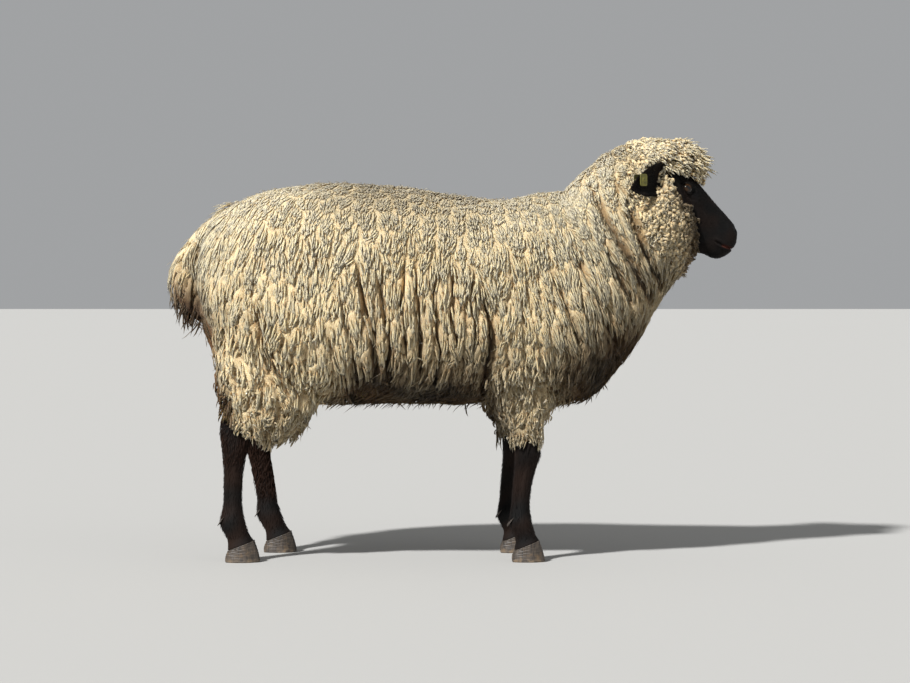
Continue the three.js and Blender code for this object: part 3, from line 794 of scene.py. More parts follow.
class Clumps:
    """Places round which the fleece gathers, with the lie of the wool and small differences at each."""

    def __init__(self, ground, count):
        draw = np.random.default_rng(2)
        share = ease(4, 9, ground.reach.mean(1)) * (1 + 3 * ease(420, 470, ground.points[..., 0].mean(1)))
        root, normal, _, depth = ground.scatter(count, share, draw)
        self.spot = root + normal * depth[:, None]
        self.lay = fallen(self.spot, normal, coat_field(self.spot)[1:3])
        x, _, z = self.spot.T
        flank = ease(0.25, 0.6, np.abs(normal[:, 1])) * (1 - ease(640, 780, z - 0.5 * np.maximum(x - 150, 0)))
        self.squash = np.where(x < TAIL_FROM, 0.28, 0.75 - 0.40 * flank * (1 - ease(420, 470, x)))
        self.own = draw.normal(size=(len(root), 3))

    def surface(self, points, normals, thick):
        """How far the fleece lies under the coat's outline, where the coat is thick mm deep: clumps are
        cushions with grooves between them, partings are deep, and the wool thins to its edge on the head and
        round the ears. Also each point's clump, the way to its middle, and what parted() gives."""
        which, inside = nearest(points, self.spot, self.lay, self.squash)
        lean = flattened(self.spot[which] - points, normals)
        cut, push, down = parted(points)
        x, _, z = points.T
        calm = 1 - 0.65 * ease(0.3, 0.8, normals[:, 2]) * (x < 300)
        strong = 1.5 - 1.1 * ease(520, 700, z - 0.6 * np.maximum(x - 200, 0))
        strong = np.where(x < TAIL_FROM, 1.7, np.where(x > 430, 0.9, strong))
        groove = (7.0 * (1 - ease(0, 0.34, inside)) - 1.5 * self.own[which, 1]) * calm * strong
        eye = eye_distance(points)
        within = np.where(x > HEAD_FROM, wool_inside(points) - 60 * (1 - ease(27, 33, eye)), 50)
        edge = 0.9 * (1 - ease(-2, 20, within))
        ear = 0.9 * (1 - ease(16, 34, ear_distance(points)))
        lumps = 4.5 * ripple(points, 48, 22) * (1 - ease(380, 450, z))
        sunk = 3.5 + groove + cut + lumps + 3.0 * ripple(points, 130, 21) + thick * np.maximum(edge, ear)
        sunk = np.clip(sunk, 0, np.maximum(thick - 3, 0))
        return which, lean, push, down, cut, np.where(within < -3, thick + 6 + 12 * (eye < 36), sunk)


class Tufts:
    """Places for one kind of lock: the root on the skin, the spot over it on the fleece, and there the clump,
    the coat's fields, the lie of the lock and the way to its side. spread is how much the lies differ."""

    def __init__(self, ground, clumps, count, share, seed, spread, with_clump=0.0):
        self.draw = np.random.default_rng(seed)
        root, normal, uv, depth = ground.scatter(count, share, self.draw)
        spot = root + normal * depth[:, None]
        which, lean, push, down, cut, sunk = clumps.surface(spot, normal, depth)
        keep = (depth - sunk > 1.5) & (eye_distance(root) > 28)
        keep &= cut < self.draw.uniform(18, 29, len(root)) + 9 * ease(200, 280, spot[:, 0])
        kept = [value[keep] for value in (root, normal, uv, spot - normal * sunk[:, None], which)]
        self.root, self.normal, self.uv, self.spot, self.which = kept
        self.lean, self.push, self.down, self.cut = (value[keep] for value in (lean, push, down, cut))
        self.count = len(self.root)
        self.fields = coat_field(self.spot)
        lay = fallen(self.spot, self.normal, self.fields[1:3])
        turn = with_clump * clumps.own[self.which, 0] + spread * self.draw.normal(size=self.count)
        self.lay = turned(lay, self.normal, turn)
        self.side = np.cross(self.normal, self.lay)

    def some(self, low, high):
        """A number for each tuft, drawn evenly between low and high."""
        return self.draw.uniform(low, high, self.count)

    def locks(self, name, material, path, across, thin, sides=3):
        """The locks of all the tufts, with their marks."""
        lock_meshes(name, material, "fleece", path, across, thin, self.uv,
                    coat_marks(self.spot, self.which, self.cut), sides)


GOLDEN = 0.618  # its multiples, less their whole parts, give neighbouring numbers unlike shades
FIBRE_SPREAD = (200.0, 3200.0)  # locks' widths across the whole unwrap, and mm along it


def bed(ground, clumps, material):
    """The fleece's closed body, which the locks lie on: the coat's outline drawn in by the clumps' relief.
    Round the eyes it is drawn towards the middle of the head, so that it stays inside the skin."""
    grids = [(torso_grid(316, 212, coat=0.0), TRUNK_PATCH, torso_places(316)[1]),
             (tail_grid(0, 56, 56), TAIL_PATCH), (crown_grid(50, 60), HEAD_PATCH)]
    for i, (fore, hand) in enumerate(LEGS):
        left = 0.01 + 0.25 * i
        grids.append((upper_leg_grid(fore, hand, 0, 50, 56), (left, 0.01, left + 0.08, 0.24)))
    parts = [tube_object("fleece_body", *grid) for grid in grids]
    for part in parts:
        facing_out(part)
    made = joined(parts)
    mesh = made.data
    points, normals = read(mesh.vertices, "co", 3) / MM, read(mesh.vertex_normals, "vector", 3)
    thick = ground.depth_under(points, normals)
    which, _, _, _, cut, sunk = clumps.surface(points, normals, thick)
    sunk = sunk + 2.0 * (thick - sunk > 5)
    placed = points - normals * sunk[:, None]
    placed[:, 1] *= np.where(eye_distance(points) < 38, 0.45, 1)
    mesh.vertices.foreach_set("co", (placed * MM).astype(np.float32).ravel())
    mesh.update()
    flat = read(mesh.uv_layers["OFBake"].uv, "vector", 2) * FIBRE_SPREAD
    mesh.uv_layers.new(name="Fibre").uv.foreach_set("vector", flat.ravel())
    add_marks(mesh, coat_marks(points, which, cut) | {
        # painted shade: the deeper the fleece's body is sunk, the lower its strand and the browner it is
        # painted
        "lot": ((which * GOLDEN) % 1) * 0.6 + 0.2, "strand": np.clip(0.60 - sunk / 40, 0.10, 0.5)})
    finish_piece(made, material, "fleece")


# chains in the side view that are stained: the back of the thigh, and the ends of the tail's wool
STAINED = [(-540, 470), (-520, 400), (-490, 320)]
TAIL_TIPS = [(-625, 560), (-590, 515), (-540, 500)]


def coat_marks(points, which, cut):
    """Each place's own tone; its grime with painted shade: real grime in the stains, and painted shade that
    grows in partings and at the front of the cheek; and its weathered grey."""
    grime_and_shade, grey = coat_field(points)[5:7]
    draw = np.random.default_rng(30)
    x, _, z = points.T
    stain = 0.75 * bell(side_distance(x, z, STAINED), 20) + 0.35 * bell(side_distance(x, z, TAIL_TIPS), 30)
    # painted shade: darker wool at the front of the cheek, beside the face
    front = (x > 470) * (1 - ease(6, 40, wool_inside(points))) * (1 - ease(790, 820, z))
    return {
        "lot": 0.5 * draw.uniform(0, 1, len(points)) + 0.5 * ((which * GOLDEN) % 1),
        # painted shade grows with a parting's depth; the stain and tail-tip terms are real stains
        "grime_and_shade": np.clip(grime_and_shade + 0.2 * ripple(points, 150, 8) * (0.2 + grime_and_shade) + np.maximum(cut - 5, 0) / 60
                         + stain + 0.35 * front, 0, 1),
        "grey": np.clip(grey * (1 + 0.5 * ripple(points, 90, 9)), 0, 1),
    }


def fleece(ground, clumps, material):
    """The coat that shows. Each lock leaves the fleece's body at a low angle, humps by the sine of its length
    and bends down with the curve of the body, less long^2 / (2 curve) at its tip. Locks lean to the middle of
    their own clump, which keeps the small cracks between clumps open."""
    fields = coat_field(ground.points.mean(1))
    share = fields[7] * ease(4, 9, ground.reach.mean(1)) * (1 - 0.5 * ease(0.55, 0.85, fields[4]))
    share = share * 150 / (fields[3] * (6 + 0.85 * fields[0]))
    tufts = Tufts(ground, clumps, FLEECE_COUNT, share, 3, 0.14, 0.15)
    fall, _, _, girth, curl, _, grey, _ = tufts.fields
    x, _, z = tufts.spot.T
    lay = unit(flattened(tufts.lay + 2.0 * tufts.down, tufts.normal))
    side = np.cross(tufts.normal, lay)
    girth = girth * 0.78 * tufts.some(0.7, 1.3)
    long = (6 + fall * 0.9) * (1 + 0.10 * clumps.own[tufts.which, 2]) * tufts.some(0.75, 1.2)
    crown = ease(0.45, 0.8, curl) * ease(835, 860, z)
    long, girth = long * (1 + 0.9 * crown), girth * (1 + 0.35 * crown)
    curve = 80 + 140 * ease(-480, -330, x) + 400 * (z < 430)
    nape = 0.25 * ease(790, 850, z) * (x > 250)
    stand = (0.02 + 0.26 * np.clip(grey * 1.2, 0, 1) + 0.7 * crown + nape) * tufts.some(0.5, 1.5)
    t = np.array([0.0, 0.3, 0.78, 1.0])
    wave = (girth * (0.28 + 0.5 * curl))[:, None] * np.sin(tufts.some(0, 6.3)[:, None] + t * 4)
    hump = (0.3 + 0.19 * girth[:, None] * np.sin(t * math.pi * 1.08) + (stand * long * 0.5)[:, None] * t
            - (long**2 / (2 * curve))[:, None] * t**2)
    path = strands(tufts.spot, (lay, long[:, None] * t), (tufts.normal, hump - 3.5 * (1 - t) ** 3),
                   (DOWN, 0.10 * long[:, None] * t**2), (0.36 * tufts.lean + tufts.push, ease(0, 1, t)),
                   (side, wave * t))
    thin = girth[:, None] * 0.5 * np.array([0.8, 1.0, 0.92, 0.0])
    marks = coat_marks(tufts.spot, tufts.which, tufts.cut)
    place = grouped(tufts.root)
    for number, label in enumerate(GROUPS):
        own = place == number
        lock_meshes(f"fleece_{label}", material, "fleece", path[own], side[own], thin[own], tufts.uv[own],
                    {key: value[own] for key, value in marks.items()}, 3, 0.4)


def grouped(points):
    """Each point's place in GROUPS."""
    x, y, z = points.T
    left = (y > 0).astype(int)
    place = np.where(x > 60, 2, np.where(x > -230, 4, 6)) + left
    place = np.where((x > 250) & (z > 430), 1, place)
    place = np.where((x > 400) & (z > 640), 0, place)
    place = np.where(z < 345, 8, place)
    return np.where(x < -535, 9, place)


def knobbly(ground):
    """How much curly wool grows on each triangle of the skin, and the height of its middle."""
    middle = ground.points.mean(1)
    return ease(0.40, 0.75, coat_field(middle)[4]) * ease(5, 10, ground.reach.mean(1)), middle[:, 2]


def curls(ground, clumps, material):
    """The knobbly wool of the cheeks, throat and forehead: each lock winds once round as it rises, its places
    wide times the cosine and the sine of a turn that grows as its length's share to the power 1.3."""
    share, height = knobbly(ground)
    tufts = Tufts(ground, clumps, CURL_COUNT, share * np.where(height > 500, 1.0, 0.2), 4, 0.5)
    t = np.linspace(0, 1, 9)
    wide = tufts.some(2.2, 4.2)[:, None] * ease(0.1, 0.6, t)
    turn = tufts.some(0, 6.3)[:, None] + np.where(tufts.some(0, 1) > 0.5, 1, -1)[:, None] * 7.5 * t**1.3
    high = tufts.some(3.5, 6.5)[:, None]
    path = strands(tufts.spot, (tufts.normal, high * np.sin(t * math.pi * 0.72) - 3 * (1 - t) ** 2),
                   (tufts.lay, tufts.fields[0][:, None] * 0.8 * t + wide * np.cos(turn)),
                   (tufts.side, wide * np.sin(turn)), (0.15 * tufts.lean + tufts.push, t))
    thin = tufts.some(1.1, 2.2)[:, None] * np.array([0.8, 1, 1.1, 1.15, 1.1, 1.05, 0.95, 0.75, 0])
    tufts.locks("curls", material, path, unit(tufts.normal + 0.01), thin)


def knobs(ground, clumps, material):
    """Rounded bunches under the curls: short stout locks that rise and dip again by a sine, each bent to one
    side by another."""
    share, height = knobbly(ground)
    tufts = Tufts(ground, clumps, KNOB_COUNT, share * (height > 500), 11, 0.9)
    t = np.array([0, 0.28, 0.56, 0.82, 1.0])
    wide = tufts.some(1.7, 4.0)
    long = wide * tufts.some(2.0, 4.2) + 0.2 * tufts.fields[0]
    high = wide * tufts.some(0.9, 1.5)
    bend = wide * tufts.draw.normal(size=tufts.count) * 1.1
    path = strands(tufts.spot, (tufts.normal, high[:, None] * (np.sin(math.pi * t * 0.95) - 0.8 * (t < 0.1))),
                   (tufts.lay, long[:, None] * t), (tufts.side, bend[:, None] * np.sin(math.pi * t)),
                   (0.15 * tufts.lean + tufts.push, t))
    thin = wide[:, None] * np.array([0.75, 1.0, 0.98, 0.70, 0])
    tufts.locks("knobs", material, path, tufts.side, thin, 5)


def strays(ground, clumps, material):
    """Thin ends that stand a little out of the coat, so that its outline is soft. They bend to one side and
    sag by the square of their length's share."""
    middle = ground.points.mean(1)
    fields = coat_field(middle)
    share = ease(4, 9, ground.reach.mean(1)) * (
        0.5 + 1.2 * fields[6] + 0.7 * (middle[:, 2] < 410) + fields[4] + 3.0 * (middle[:, 2] > 850))
    tufts = Tufts(ground, clumps, STRAY_COUNT, share, 5, 0.6)
    fall, _, _, _, curl, _, grey, _ = tufts.fields
    z = tufts.spot[:, 2]
    t = np.linspace(0, 1, 4)
    crown = ease(0.45, 0.8, curl) * ease(835, 865, z)
    under = 1 - ease(380, 430, z)
    long = (9 + 0.35 * fall) * tufts.some(0.5, 1.3) * (1 + 0.5 * crown)
    stand = tufts.some(0.1, 0.7) * (0.4 + 0.6 * np.clip(grey * 1.5 + curl, 0, 1)) + 0.3 * crown
    bend = tufts.draw.normal(size=tufts.count) * 0.4
    path = strands(tufts.spot, (tufts.normal * stand[:, None] + tufts.lay, long[:, None] * t),
                   (tufts.normal, 2 - 0.3 * long[:, None] * stand[:, None] * t**2),
                   (tufts.side, long[:, None] * bend[:, None] * t**2),
                   (0.5 * DOWN, (long * under)[:, None] * t**2))
    thin = (tufts.some(0.35, 0.75) * (1 + 2.2 * crown + 1.5 * under))[:, None] * np.array([1, 1.1, 0.85, 0])
    tufts.locks("strays", material, path, tufts.side, thin)


def hair_lay(points, normals):
    """The lie of the short hair: back from the nose on the face, out along the ears and down the legs."""
    face = (points[:, 2] > 600)[:, None]
    ear = (np.abs(points[:, 1]) > 72)[:, None] & face
    same = np.ones(len(points))
    out = unit(EAR_TIP - EAR_ROOT) * np.stack([same, np.sign(points[:, 1]), same], -1)
    way = np.where(ear, out, np.where(face, np.array([-0.74, 0.0, 0.67]), np.array([-0.15, 0.0, -1.0])))
    way = way + np.where(face & ~ear, np.array([0, 0.35, 0]) * np.sign(points[:, 1:2]), 0)
    return unit(flattened(way, normals) + 1e-4)


def shagginess(points):
    """Where the hind shanks carry a rough brown coat between the hock and the foot, longest behind."""
    x, y, z = points.T
    low = np.where(y > 0, 110, 190)
    return (x < -200) * ease(low, low + 40, z) * (1 - ease(300, 330, z)) * np.where(y > 0, 1.0, 0.6)


def short_hair(ground, material):
    """Flat tufts of short hair over the face, ears and lower legs. Each lifts off the skin by a sine of its
    length's share and lies down again."""
    draw = np.random.default_rng(6)
    middle = ground.points.mean(1)
    bare = 1 - ease(3, 8, ground.reach.mean(1))
    density = np.where(middle[:, 2] > 600, 1.9, 0.7) + 1.2 * shagginess(middle)
    share = bare * density * ease(16, 21, eye_distance(middle)) * (1 - wetness(middle))
    share = share * ease(50, 62, middle[:, 2])
    root, normal, uv, _ = ground.scatter(HAIR_COUNT, share, draw)
    count = len(root)
    x, y, z = root.T
    lay = turned(hair_lay(root, normal), normal, 0.22 * draw.normal(size=count))
    shaggy = shagginess(root)
    long = np.where(z > 600, np.where(np.abs(y) > 72, 8.0, 3.6 + 0.024 * (625 - x)), 9.0)
    long = long * (1 + 0.9 * shaggy) * draw.uniform(0.7, 1.3, count)
    t = np.linspace(0, 1, 4)
    path = strands(root - normal * 0.5, (lay, long[:, None] * t),
                   (normal, 0.5 + long[:, None] * 0.16 * np.sin(t * math.pi * 0.62)))
    thin = (0.22 + 0.025 * long + 0.3 * shaggy)[:, None] * np.array([0.9, 1.0, 0.7, 0])
    marks = {"lot": draw.uniform(0, 1, count), "rust": np.clip(rustiness(root) + 0.7 * shaggy, 0, 1)}
    lock_meshes("hair", material, "hair", path, np.cross(normal, lay), thin, uv, marks)


def lashes(material):
    """A row of lashes along each upper lid, falling outwards and down. Their feet lie on the almond of the
    lids, at 16.6 mm from the eye's centre."""
    draw = np.random.default_rng(7)
    share = np.linspace(-0.95, 0.95, LASH_COUNT)[:, None]
    t = np.linspace(0, 1, 5)
    rows = []
    for hand in (-1, 1):
        centre, nose, up, out = eye_frame(hand)
        along, across = 15.8 * share, 9.4 * np.sqrt(1 - np.abs(share) ** 2.3)
        foot = np.stack([along, across + 1.2, np.sqrt(np.maximum(16.6**2 - along**2 - across**2, 9))], -1)
        long = draw.uniform(9, 13, LASH_COUNT)[:, None] * (1 - 0.4 * share**2)
        rise = np.stack(np.broadcast_arrays(0.35 * share, 0.25 + 0.1 * t - 0.9 * t**2, 1.0), -1)
        rows.append(centre + (foot + long[..., None] * rise * t[:, None]) @ np.stack([nose, up, out]))
    path = np.concatenate(rows)
    count = len(path)
    thin = np.broadcast_to(0.28 * np.array([1, 0.9, 0.7, 0.5, 0]), (count, 5))
    marks = {"lot": draw.uniform(0, 1, count), "rust": np.zeros(count)}
    lock_meshes("lashes", material, "hair", path, np.tile([1.0, 0.0, 0.0], (count, 1)), thin,
                np.full((count, 2), (0.06, 0.38)), marks)


# ---- Eyes, hooves and tag ----


def eyeball(hand, material):
    """A ball with the cornea standing out of it: the radius grows by a bell of the angle from the gaze."""
    centre, *axes = eye_frame(hand)
    ball, lift = ball_grid(48, 64, 0.02)
    radius = EYE_RADIUS + 1.3 * bell(lift, 0.62)
    word = "left" if hand > 0 else "right"
    made = tube_object(f"eyeball_{word}", centre + (ball * radius[..., None]) @ np.stack(axes))
    corners = read(made.data.loops, "vertex_index", 1, np.int32)[:, 0]
    away = read(made.data.vertices, "co", 3)[corners] / MM - centre
    gaze = np.stack([away @ axes[0], away @ axes[1]], -1)
    made.data.uv_layers.new(name="Gaze").uv.foreach_set("vector", gaze.astype(np.float32).ravel())
    facing_out(made)
    finish_piece(made, material, "eye", f"eye_{word}")


def claw_grid(fore, hand, part, rings=44, sides=56):
    """A claw: rings from the coronet to the sole, pointed at the toe, flat towards its neighbour. The ripples
    of growth across its wall are a sine of the way down."""
    coronet = standing((FORE_SHANK if fore else HIND_SHANK)[-1:], fore, hand)[0]
    front, back = coronet[0:2] + (0, -0.5), coronet[2:4] + (2, -0.5)
    toe, heel = np.array([coronet[0] + 14, 0.0]), np.array([coronet[2] - 4, 0.0])
    s = np.linspace(0, 1, rings)[:, None]
    high = front + (toe - front) * s + np.array([1.5, 0]) * np.sin(math.pi * s)
    low = back + (heel - back) * s - np.array([2.5, 0]) * np.sin(math.pi * s)
    angle = 2 * math.pi * np.arange(sides)[None] / sides
    ahead, out = np.cos(angle), np.sin(angle)
    centre, reach = (high + low) / 2, (high - low) / 2
    ripple_out = 1 + 0.016 * np.sin(s * 46 + 1.5 * np.sin(s * 9)) * (1 - s) + 0.03 * bell(s - 0.04, 0.05)
    sole = 1 - 0.05 * ease(0.94, 1.0, s)
    x = centre[:, :1] + reach[:, :1] * ahead * ripple_out * sole
    z = centre[:, 1:] + reach[:, 1:] * ahead
    half = (13.0 + 1.4 * s) * (1 - 0.36 * ease(0.25, 1, ahead))
    near = np.where(out * part < 0, 0.97, 1.0)
    y = np.sign(out) * np.abs(out) ** 0.8 * half * near * ripple_out * sole
    y = y - part * 3.0 * ease(0.2, 1, ahead) * s
    return np.stack([x, y + track(fore, hand) + part * 15.5, np.maximum(z, 0)], -1)


def toe_name(fore, hand, part):
    """A toe's leg and its side of that leg, for the names of pieces."""
    leg = ("fore" if fore else "hind") + ("_left" if hand > 0 else "_right")
    return leg + ("_outer" if part == hand else "_inner")


def hooves(material):
    """Two claws on each foot."""
    for fore, hand in LEGS:
        for part in (-hand, hand):
            name = toe_name(fore, hand, part)
            solid_piece(f"claw_{name}", claw_grid(fore, hand, part), material, "horn", f"hoof_{name}")


def dewclaws(material):
    """Two small horn cones behind each pastern, pointing down and back. Their radius falls to the tip as the
    root of 1 less the way down to the power 2.6."""
    s = np.linspace(0, 1, 14)[:, None]
    angle = 2 * math.pi * np.arange(20)[None] / 20
    thick = 6.4 * np.sqrt(np.maximum(1 - s**2.6, 0.004)) * (1 + 0.03 * np.sin(s * 30))
    for fore, hand in LEGS:
        back = standing(FORE_SHANK if fore else HIND_SHANK, fore, hand)[7, 2:4]
        x = back[0] + 7 - 11 * s + thick * np.cos(angle) * 0.7
        z = back[1] + 12 - 17 * s + thick * np.cos(angle) * 0.6
        for part in (-1, 1):
            y = track(fore, hand) + part * (12.5 + 1.5 * s) + thick * np.sin(angle)
            name = toe_name(fore, hand, part)
            solid_piece(f"dewclaw_{name}", np.stack([x, y, z], -1), material, "horn")


# the tag's pieces in section, as shares of the plate's half width and heights along the pin
FRONT_PLATE = [
    (0.05, 11), (0.90, 11), (0.97, 11.25), (1, 11.8), (1, 12.5), (0.97, 13), (0.93, 13.2), (0.88, 12.9),
    (0.42, 12.9), (0.36, 13.1), (0.33, 14.0), (0.27, 14.3), (0.24, 13.6), (0.05, 13.5),
]
PIN = [(0.05, -14.5), (0.22, -14.5), (0.24, -13), (0.20, -8), (0.20, 8), (0.24, 11.2), (0.05, 11.4)]
REAR_PLATE = [
    (0.05, -16.6), (0.25, -16.5), (0.32, -16.2), (0.38, -15.2), (0.90, -15.2), (0.97, -15), (1, -14.4),
    (1, -13.5), (0.97, -13), (0.90, -12.8), (0.05, -12.8),
]


def tag_plate(name, profile, offset, material, *nodes):
    """A plate turned from a profile: each ring is a superellipse, a circle near the pin and a rounded
    rectangle outside."""
    back, out = (EAR_TIP - EAR_ROOT)[:2]
    heading = math.atan2(-out, back) - TAG_TURN
    length = np.array([math.cos(heading), math.sin(heading), 0])
    facing = np.array([-length[1], length[0], 0])
    share, height = np.array(profile, float).T[:, :, None]
    angle = 2 * math.pi * np.arange(64)[None] / 64
    power = 2 / (2 + 5 * ease(0.45, 0.9, share))
    a = np.sign(np.cos(angle)) * np.abs(np.cos(angle)) ** power * share * TAG_SIZE[0] / 2
    b = np.sign(np.sin(angle)) * np.abs(np.sin(angle)) ** power * share * TAG_SIZE[1] / 2
    grid = (TAG_PLACE + length * (a + offset)[..., None] + np.array([0, 0, 1.0]) * b[..., None]
            + facing * height[..., None])
    solid_piece(name, grid, material, "tag", *nodes)


def ear_tag(front, rear):
    """The blank plate before the ear, the pin through it, and the plate behind."""
    tag_plate("tag_front", FRONT_PLATE, 0, front, "ear_tag")
    tag_plate("tag_pin", PIN, 0, rear)
    tag_plate("tag_rear", REAR_PLATE, TAG_BEHIND, rear)


def solid_piece(name, grid, material, slot, *nodes):
    """A finished closed piece from rings of points."""
    made = tube_object(name, grid)
    facing_out(made)
    finish_piece(made, material, slot, *nodes)


def finish_piece(made, material, slot, *nodes):
    """Gives a piece its material, its body and the CAD nodes that it stands for."""
    made.data.materials.clear()
    made.data.materials.append(material)
    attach(made, "root")
    if nodes:
        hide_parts(*nodes)


# ---- Materials ----


class Value:
    """A socket that adds a Math node when it is used in arithmetic."""

    def __init__(self, paint, socket):
        self.paint, self.socket = paint, socket

    def maths(self, operation, first, second=0.0):
        """The operation on one or two numbers or sockets."""
        return self.paint.node("ShaderNodeMath", {"operation": operation}, {0: first, 1: second})

    def __add__(self, other):
        return self.maths("ADD", self, other)

    def __sub__(self, other):
        return self.maths("SUBTRACT", self, other)

    def __rsub__(self, other):
        return self.maths("SUBTRACT", other, self)

    def __mul__(self, other):
        return self.maths("MULTIPLY", self, other)

    def __pow__(self, other):
        return self.maths("POWER", self, other)

    def sine(self):
        """Its sine, for an angle in radians."""
        return self.maths("SINE", self)

    def between(self, low, high):
        """0 at low, 1 at high, eased between them and clamped."""
        return self.paint.node("ShaderNodeMapRange", {"interpolation_type": "SMOOTHSTEP"},
                               {"Value": self, "From Min": low, "From Max": high})

    __radd__, __rmul__ = __add__, __mul__


class Paint:
    """One material's nodes, with its main shader and output."""

    def __init__(self, name, **sockets):
        self.material = bpy.data.materials.new(name)
        self.material.use_nodes = True
        self.tree = self.material.node_tree
        self.tree.nodes.clear()
        self.shader = self.tree.nodes.new("ShaderNodeBsdfPrincipled")
        output = self.tree.nodes.new("ShaderNodeOutputMaterial")
        self.tree.links.new(self.shader.outputs[0], output.inputs["Surface"])
        for key, value in sockets.items():
            self.shader.inputs[key.replace("_", " ")].default_value = value

    def set(self, key, value):
        """Sets or links one of the main shader's sockets."""
        self.feed(self.shader.inputs[key], value)

    def feed(self, socket, value):
        """Links a Value to a socket, or stores a constant there."""
        if isinstance(value, Value):
            self.tree.links.new(value.socket, socket)
        elif hasattr(socket.default_value, "__len__") and len(socket.default_value) == 4 and len(value) == 3:
            socket.default_value = (*value, 1.0)
        else:
            socket.default_value = value

    def node(self, kind, settings=None, sockets=None, out=0):
        """Adds any node: its settings first, then the values or links of its sockets."""
        made = self.tree.nodes.new(kind)
        for key, value in (settings or {}).items():
            setattr(made, key, value)
        for key, value in (sockets or {}).items():
            self.feed(made.inputs[key], value)
        return Value(self, made.outputs[out])

    def mark(self, name):
        """A number that the mesh carries at its points."""
        return self.node("ShaderNodeAttribute", {"attribute_name": name}, {}, "Fac")

    def place(self):
        """Object coordinates, in metres."""
        return self.node("ShaderNodeTexCoord", {}, {}, "Object")

    def layer(self, name):
        """A UV map of the mesh."""
        return self.node("ShaderNodeUVMap", {"uv_map": name})

    def stretch(self, vector, scale):
        """The vector times the scale, axis by axis."""
        return self.node("ShaderNodeMapping", {}, {"Vector": vector, "Scale": scale})

    def noise(self, vector, scale, detail=2.0, shift=0.0):
        """Noise of about 0.2 to 0.8, another pattern for every shift."""
        return self.node("ShaderNodeTexNoise", {"noise_dimensions": "4D"},
                         {"Vector": vector, "W": shift, "Scale": scale, "Detail": detail})

    def axis(self, vector, which):
        """The vector's X, Y or Z."""
        return self.node("ShaderNodeSeparateXYZ", {}, {0: vector}, which)

    def mix(self, share, first, second, blend="MIX"):
        """The first colour, with the second over it by the share."""
        return self.node("ShaderNodeMix", {"data_type": "RGBA", "blend_type": blend},
                         {0: share, 6: first, 7: second}, 2)

    def bump(self, height, distance, strength=1.0):
        """Relief: height times distance, in metres."""
        self.set("Normal", self.node("ShaderNodeBump", {}, {"Height": height, "Distance": distance,
                                                            "Strength": strength}))


def srgb(red, green, blue):
    """A screen colour of 0 to 255 as linear light."""
    return tuple(c / 12.92 if c <= 0.04045 else ((c + 0.055) / 1.055) ** 2.4 for c in
                 (red / 255, green / 255, blue / 255))


# painted shade: the root colour is a deep brown that stands for the shade down between the locks
SHADED_ROOT_WOOL, MID_WOOL, TIP_WOOL = srgb(172, 132, 80), srgb(242, 219, 174), srgb(255, 243, 214)
# DIRT_AND_SHADE is the colour of real soiling and also of painted shade under the belly and chest, on the
# cheeks and in partings
GREY_WOOL, DIRT_AND_SHADE, RUST = srgb(188, 176, 152), srgb(48, 36, 18), srgb(84, 60, 30)


def fleece_paint():
    """Creamy fibres, pale at the tip, with painted shade: brown towards the root and where the fleece's body
    lies deep; weathered grey on the back; real soiling and painted shade where grime_and_shade marks them.
    """
    paint = Paint("fleece", Roughness=0.85, Subsurface_Weight=0.55, Subsurface_Scale=0.0035,
                  Subsurface_Radius=(1.0, 0.96, 0.9), Specular_IOR_Level=0.25, Sheen_Weight=0.05)
    strand, lot, grime_and_shade, grey = (paint.mark(name) for name in ("strand", "lot", "grime_and_shade", "grey"))
    fibre, place = paint.layer("Fibre"), paint.place()
    lines = paint.noise(paint.stretch(fibre, (13.0, 0.16, 1.0)), 1.0, 3.0, lot * 60).between(0.32, 0.68)
    patch = paint.noise(place, 9.0, 3.0)
    fine = paint.noise(place, 60.0, 2.0)
    crimp = (paint.axis(fibre, "Y") * 1.9 + lot * 40 + lines * 2.5 + fine * 16).sine()
    # painted shade: each lock darkens to brown towards its root, deep in the coat
    wool = paint.mix(strand.between(-0.1, 0.5), SHADED_ROOT_WOOL, MID_WOOL)
    wool = paint.mix(strand.between(0.5, 0.9) * 0.8, wool, TIP_WOOL)
    wool = paint.mix((patch.between(0.48, 0.70)) * 0.25, wool, srgb(226, 196, 140))
    wool = paint.mix(grey * (strand.between(0.35, 0.95)), wool, GREY_WOOL)
    # the soiled colour also serves as painted shade where grime_and_shade marks shade
    soiled = paint.mix(patch.between(0.35, 0.65), DIRT_AND_SHADE, RUST)
    rear = 1 - paint.axis(place, "X").between(-0.54, -0.47)
    soiled = paint.mix(rear, soiled, srgb(122, 84, 44))
    staple = paint.noise(paint.stretch(fibre, (3.6, 0.06, 1.0)), 1.0, 2.0, lot * 20).between(0.3, 0.7)
    # grime_and_shade darkens the wool towards the soiled colour, as real soiling and as painted shade alike
    wool = paint.mix((grime_and_shade * 1.15 + (fine - 0.5) * 0.5 * grime_and_shade).between(0.12, 1.0), wool, soiled)
    low = 1 - (paint.axis(place, "Z") + (fine - 0.5) * 0.05).between(0.545, 0.625)
    wool = paint.mix(low * (1 - paint.axis(place, "X").between(-0.56, -0.52)) * 0.85, wool, srgb(66, 40, 20))
    tone = lot * 0.09 + lines * 0.24 + staple * 0.08 + crimp * 0.015 + 0.75
    shade = paint.node("ShaderNodeCombineXYZ", {}, {0: tone, 1: tone, 2: tone})
    wool = paint.mix(1.0, wool, shade, "MULTIPLY")
    paint.set("Base Color", wool)
    paint.bump(lines * 0.9 + crimp * 0.04 + staple * 0.8, 0.0020, 1.0)
    return paint.material


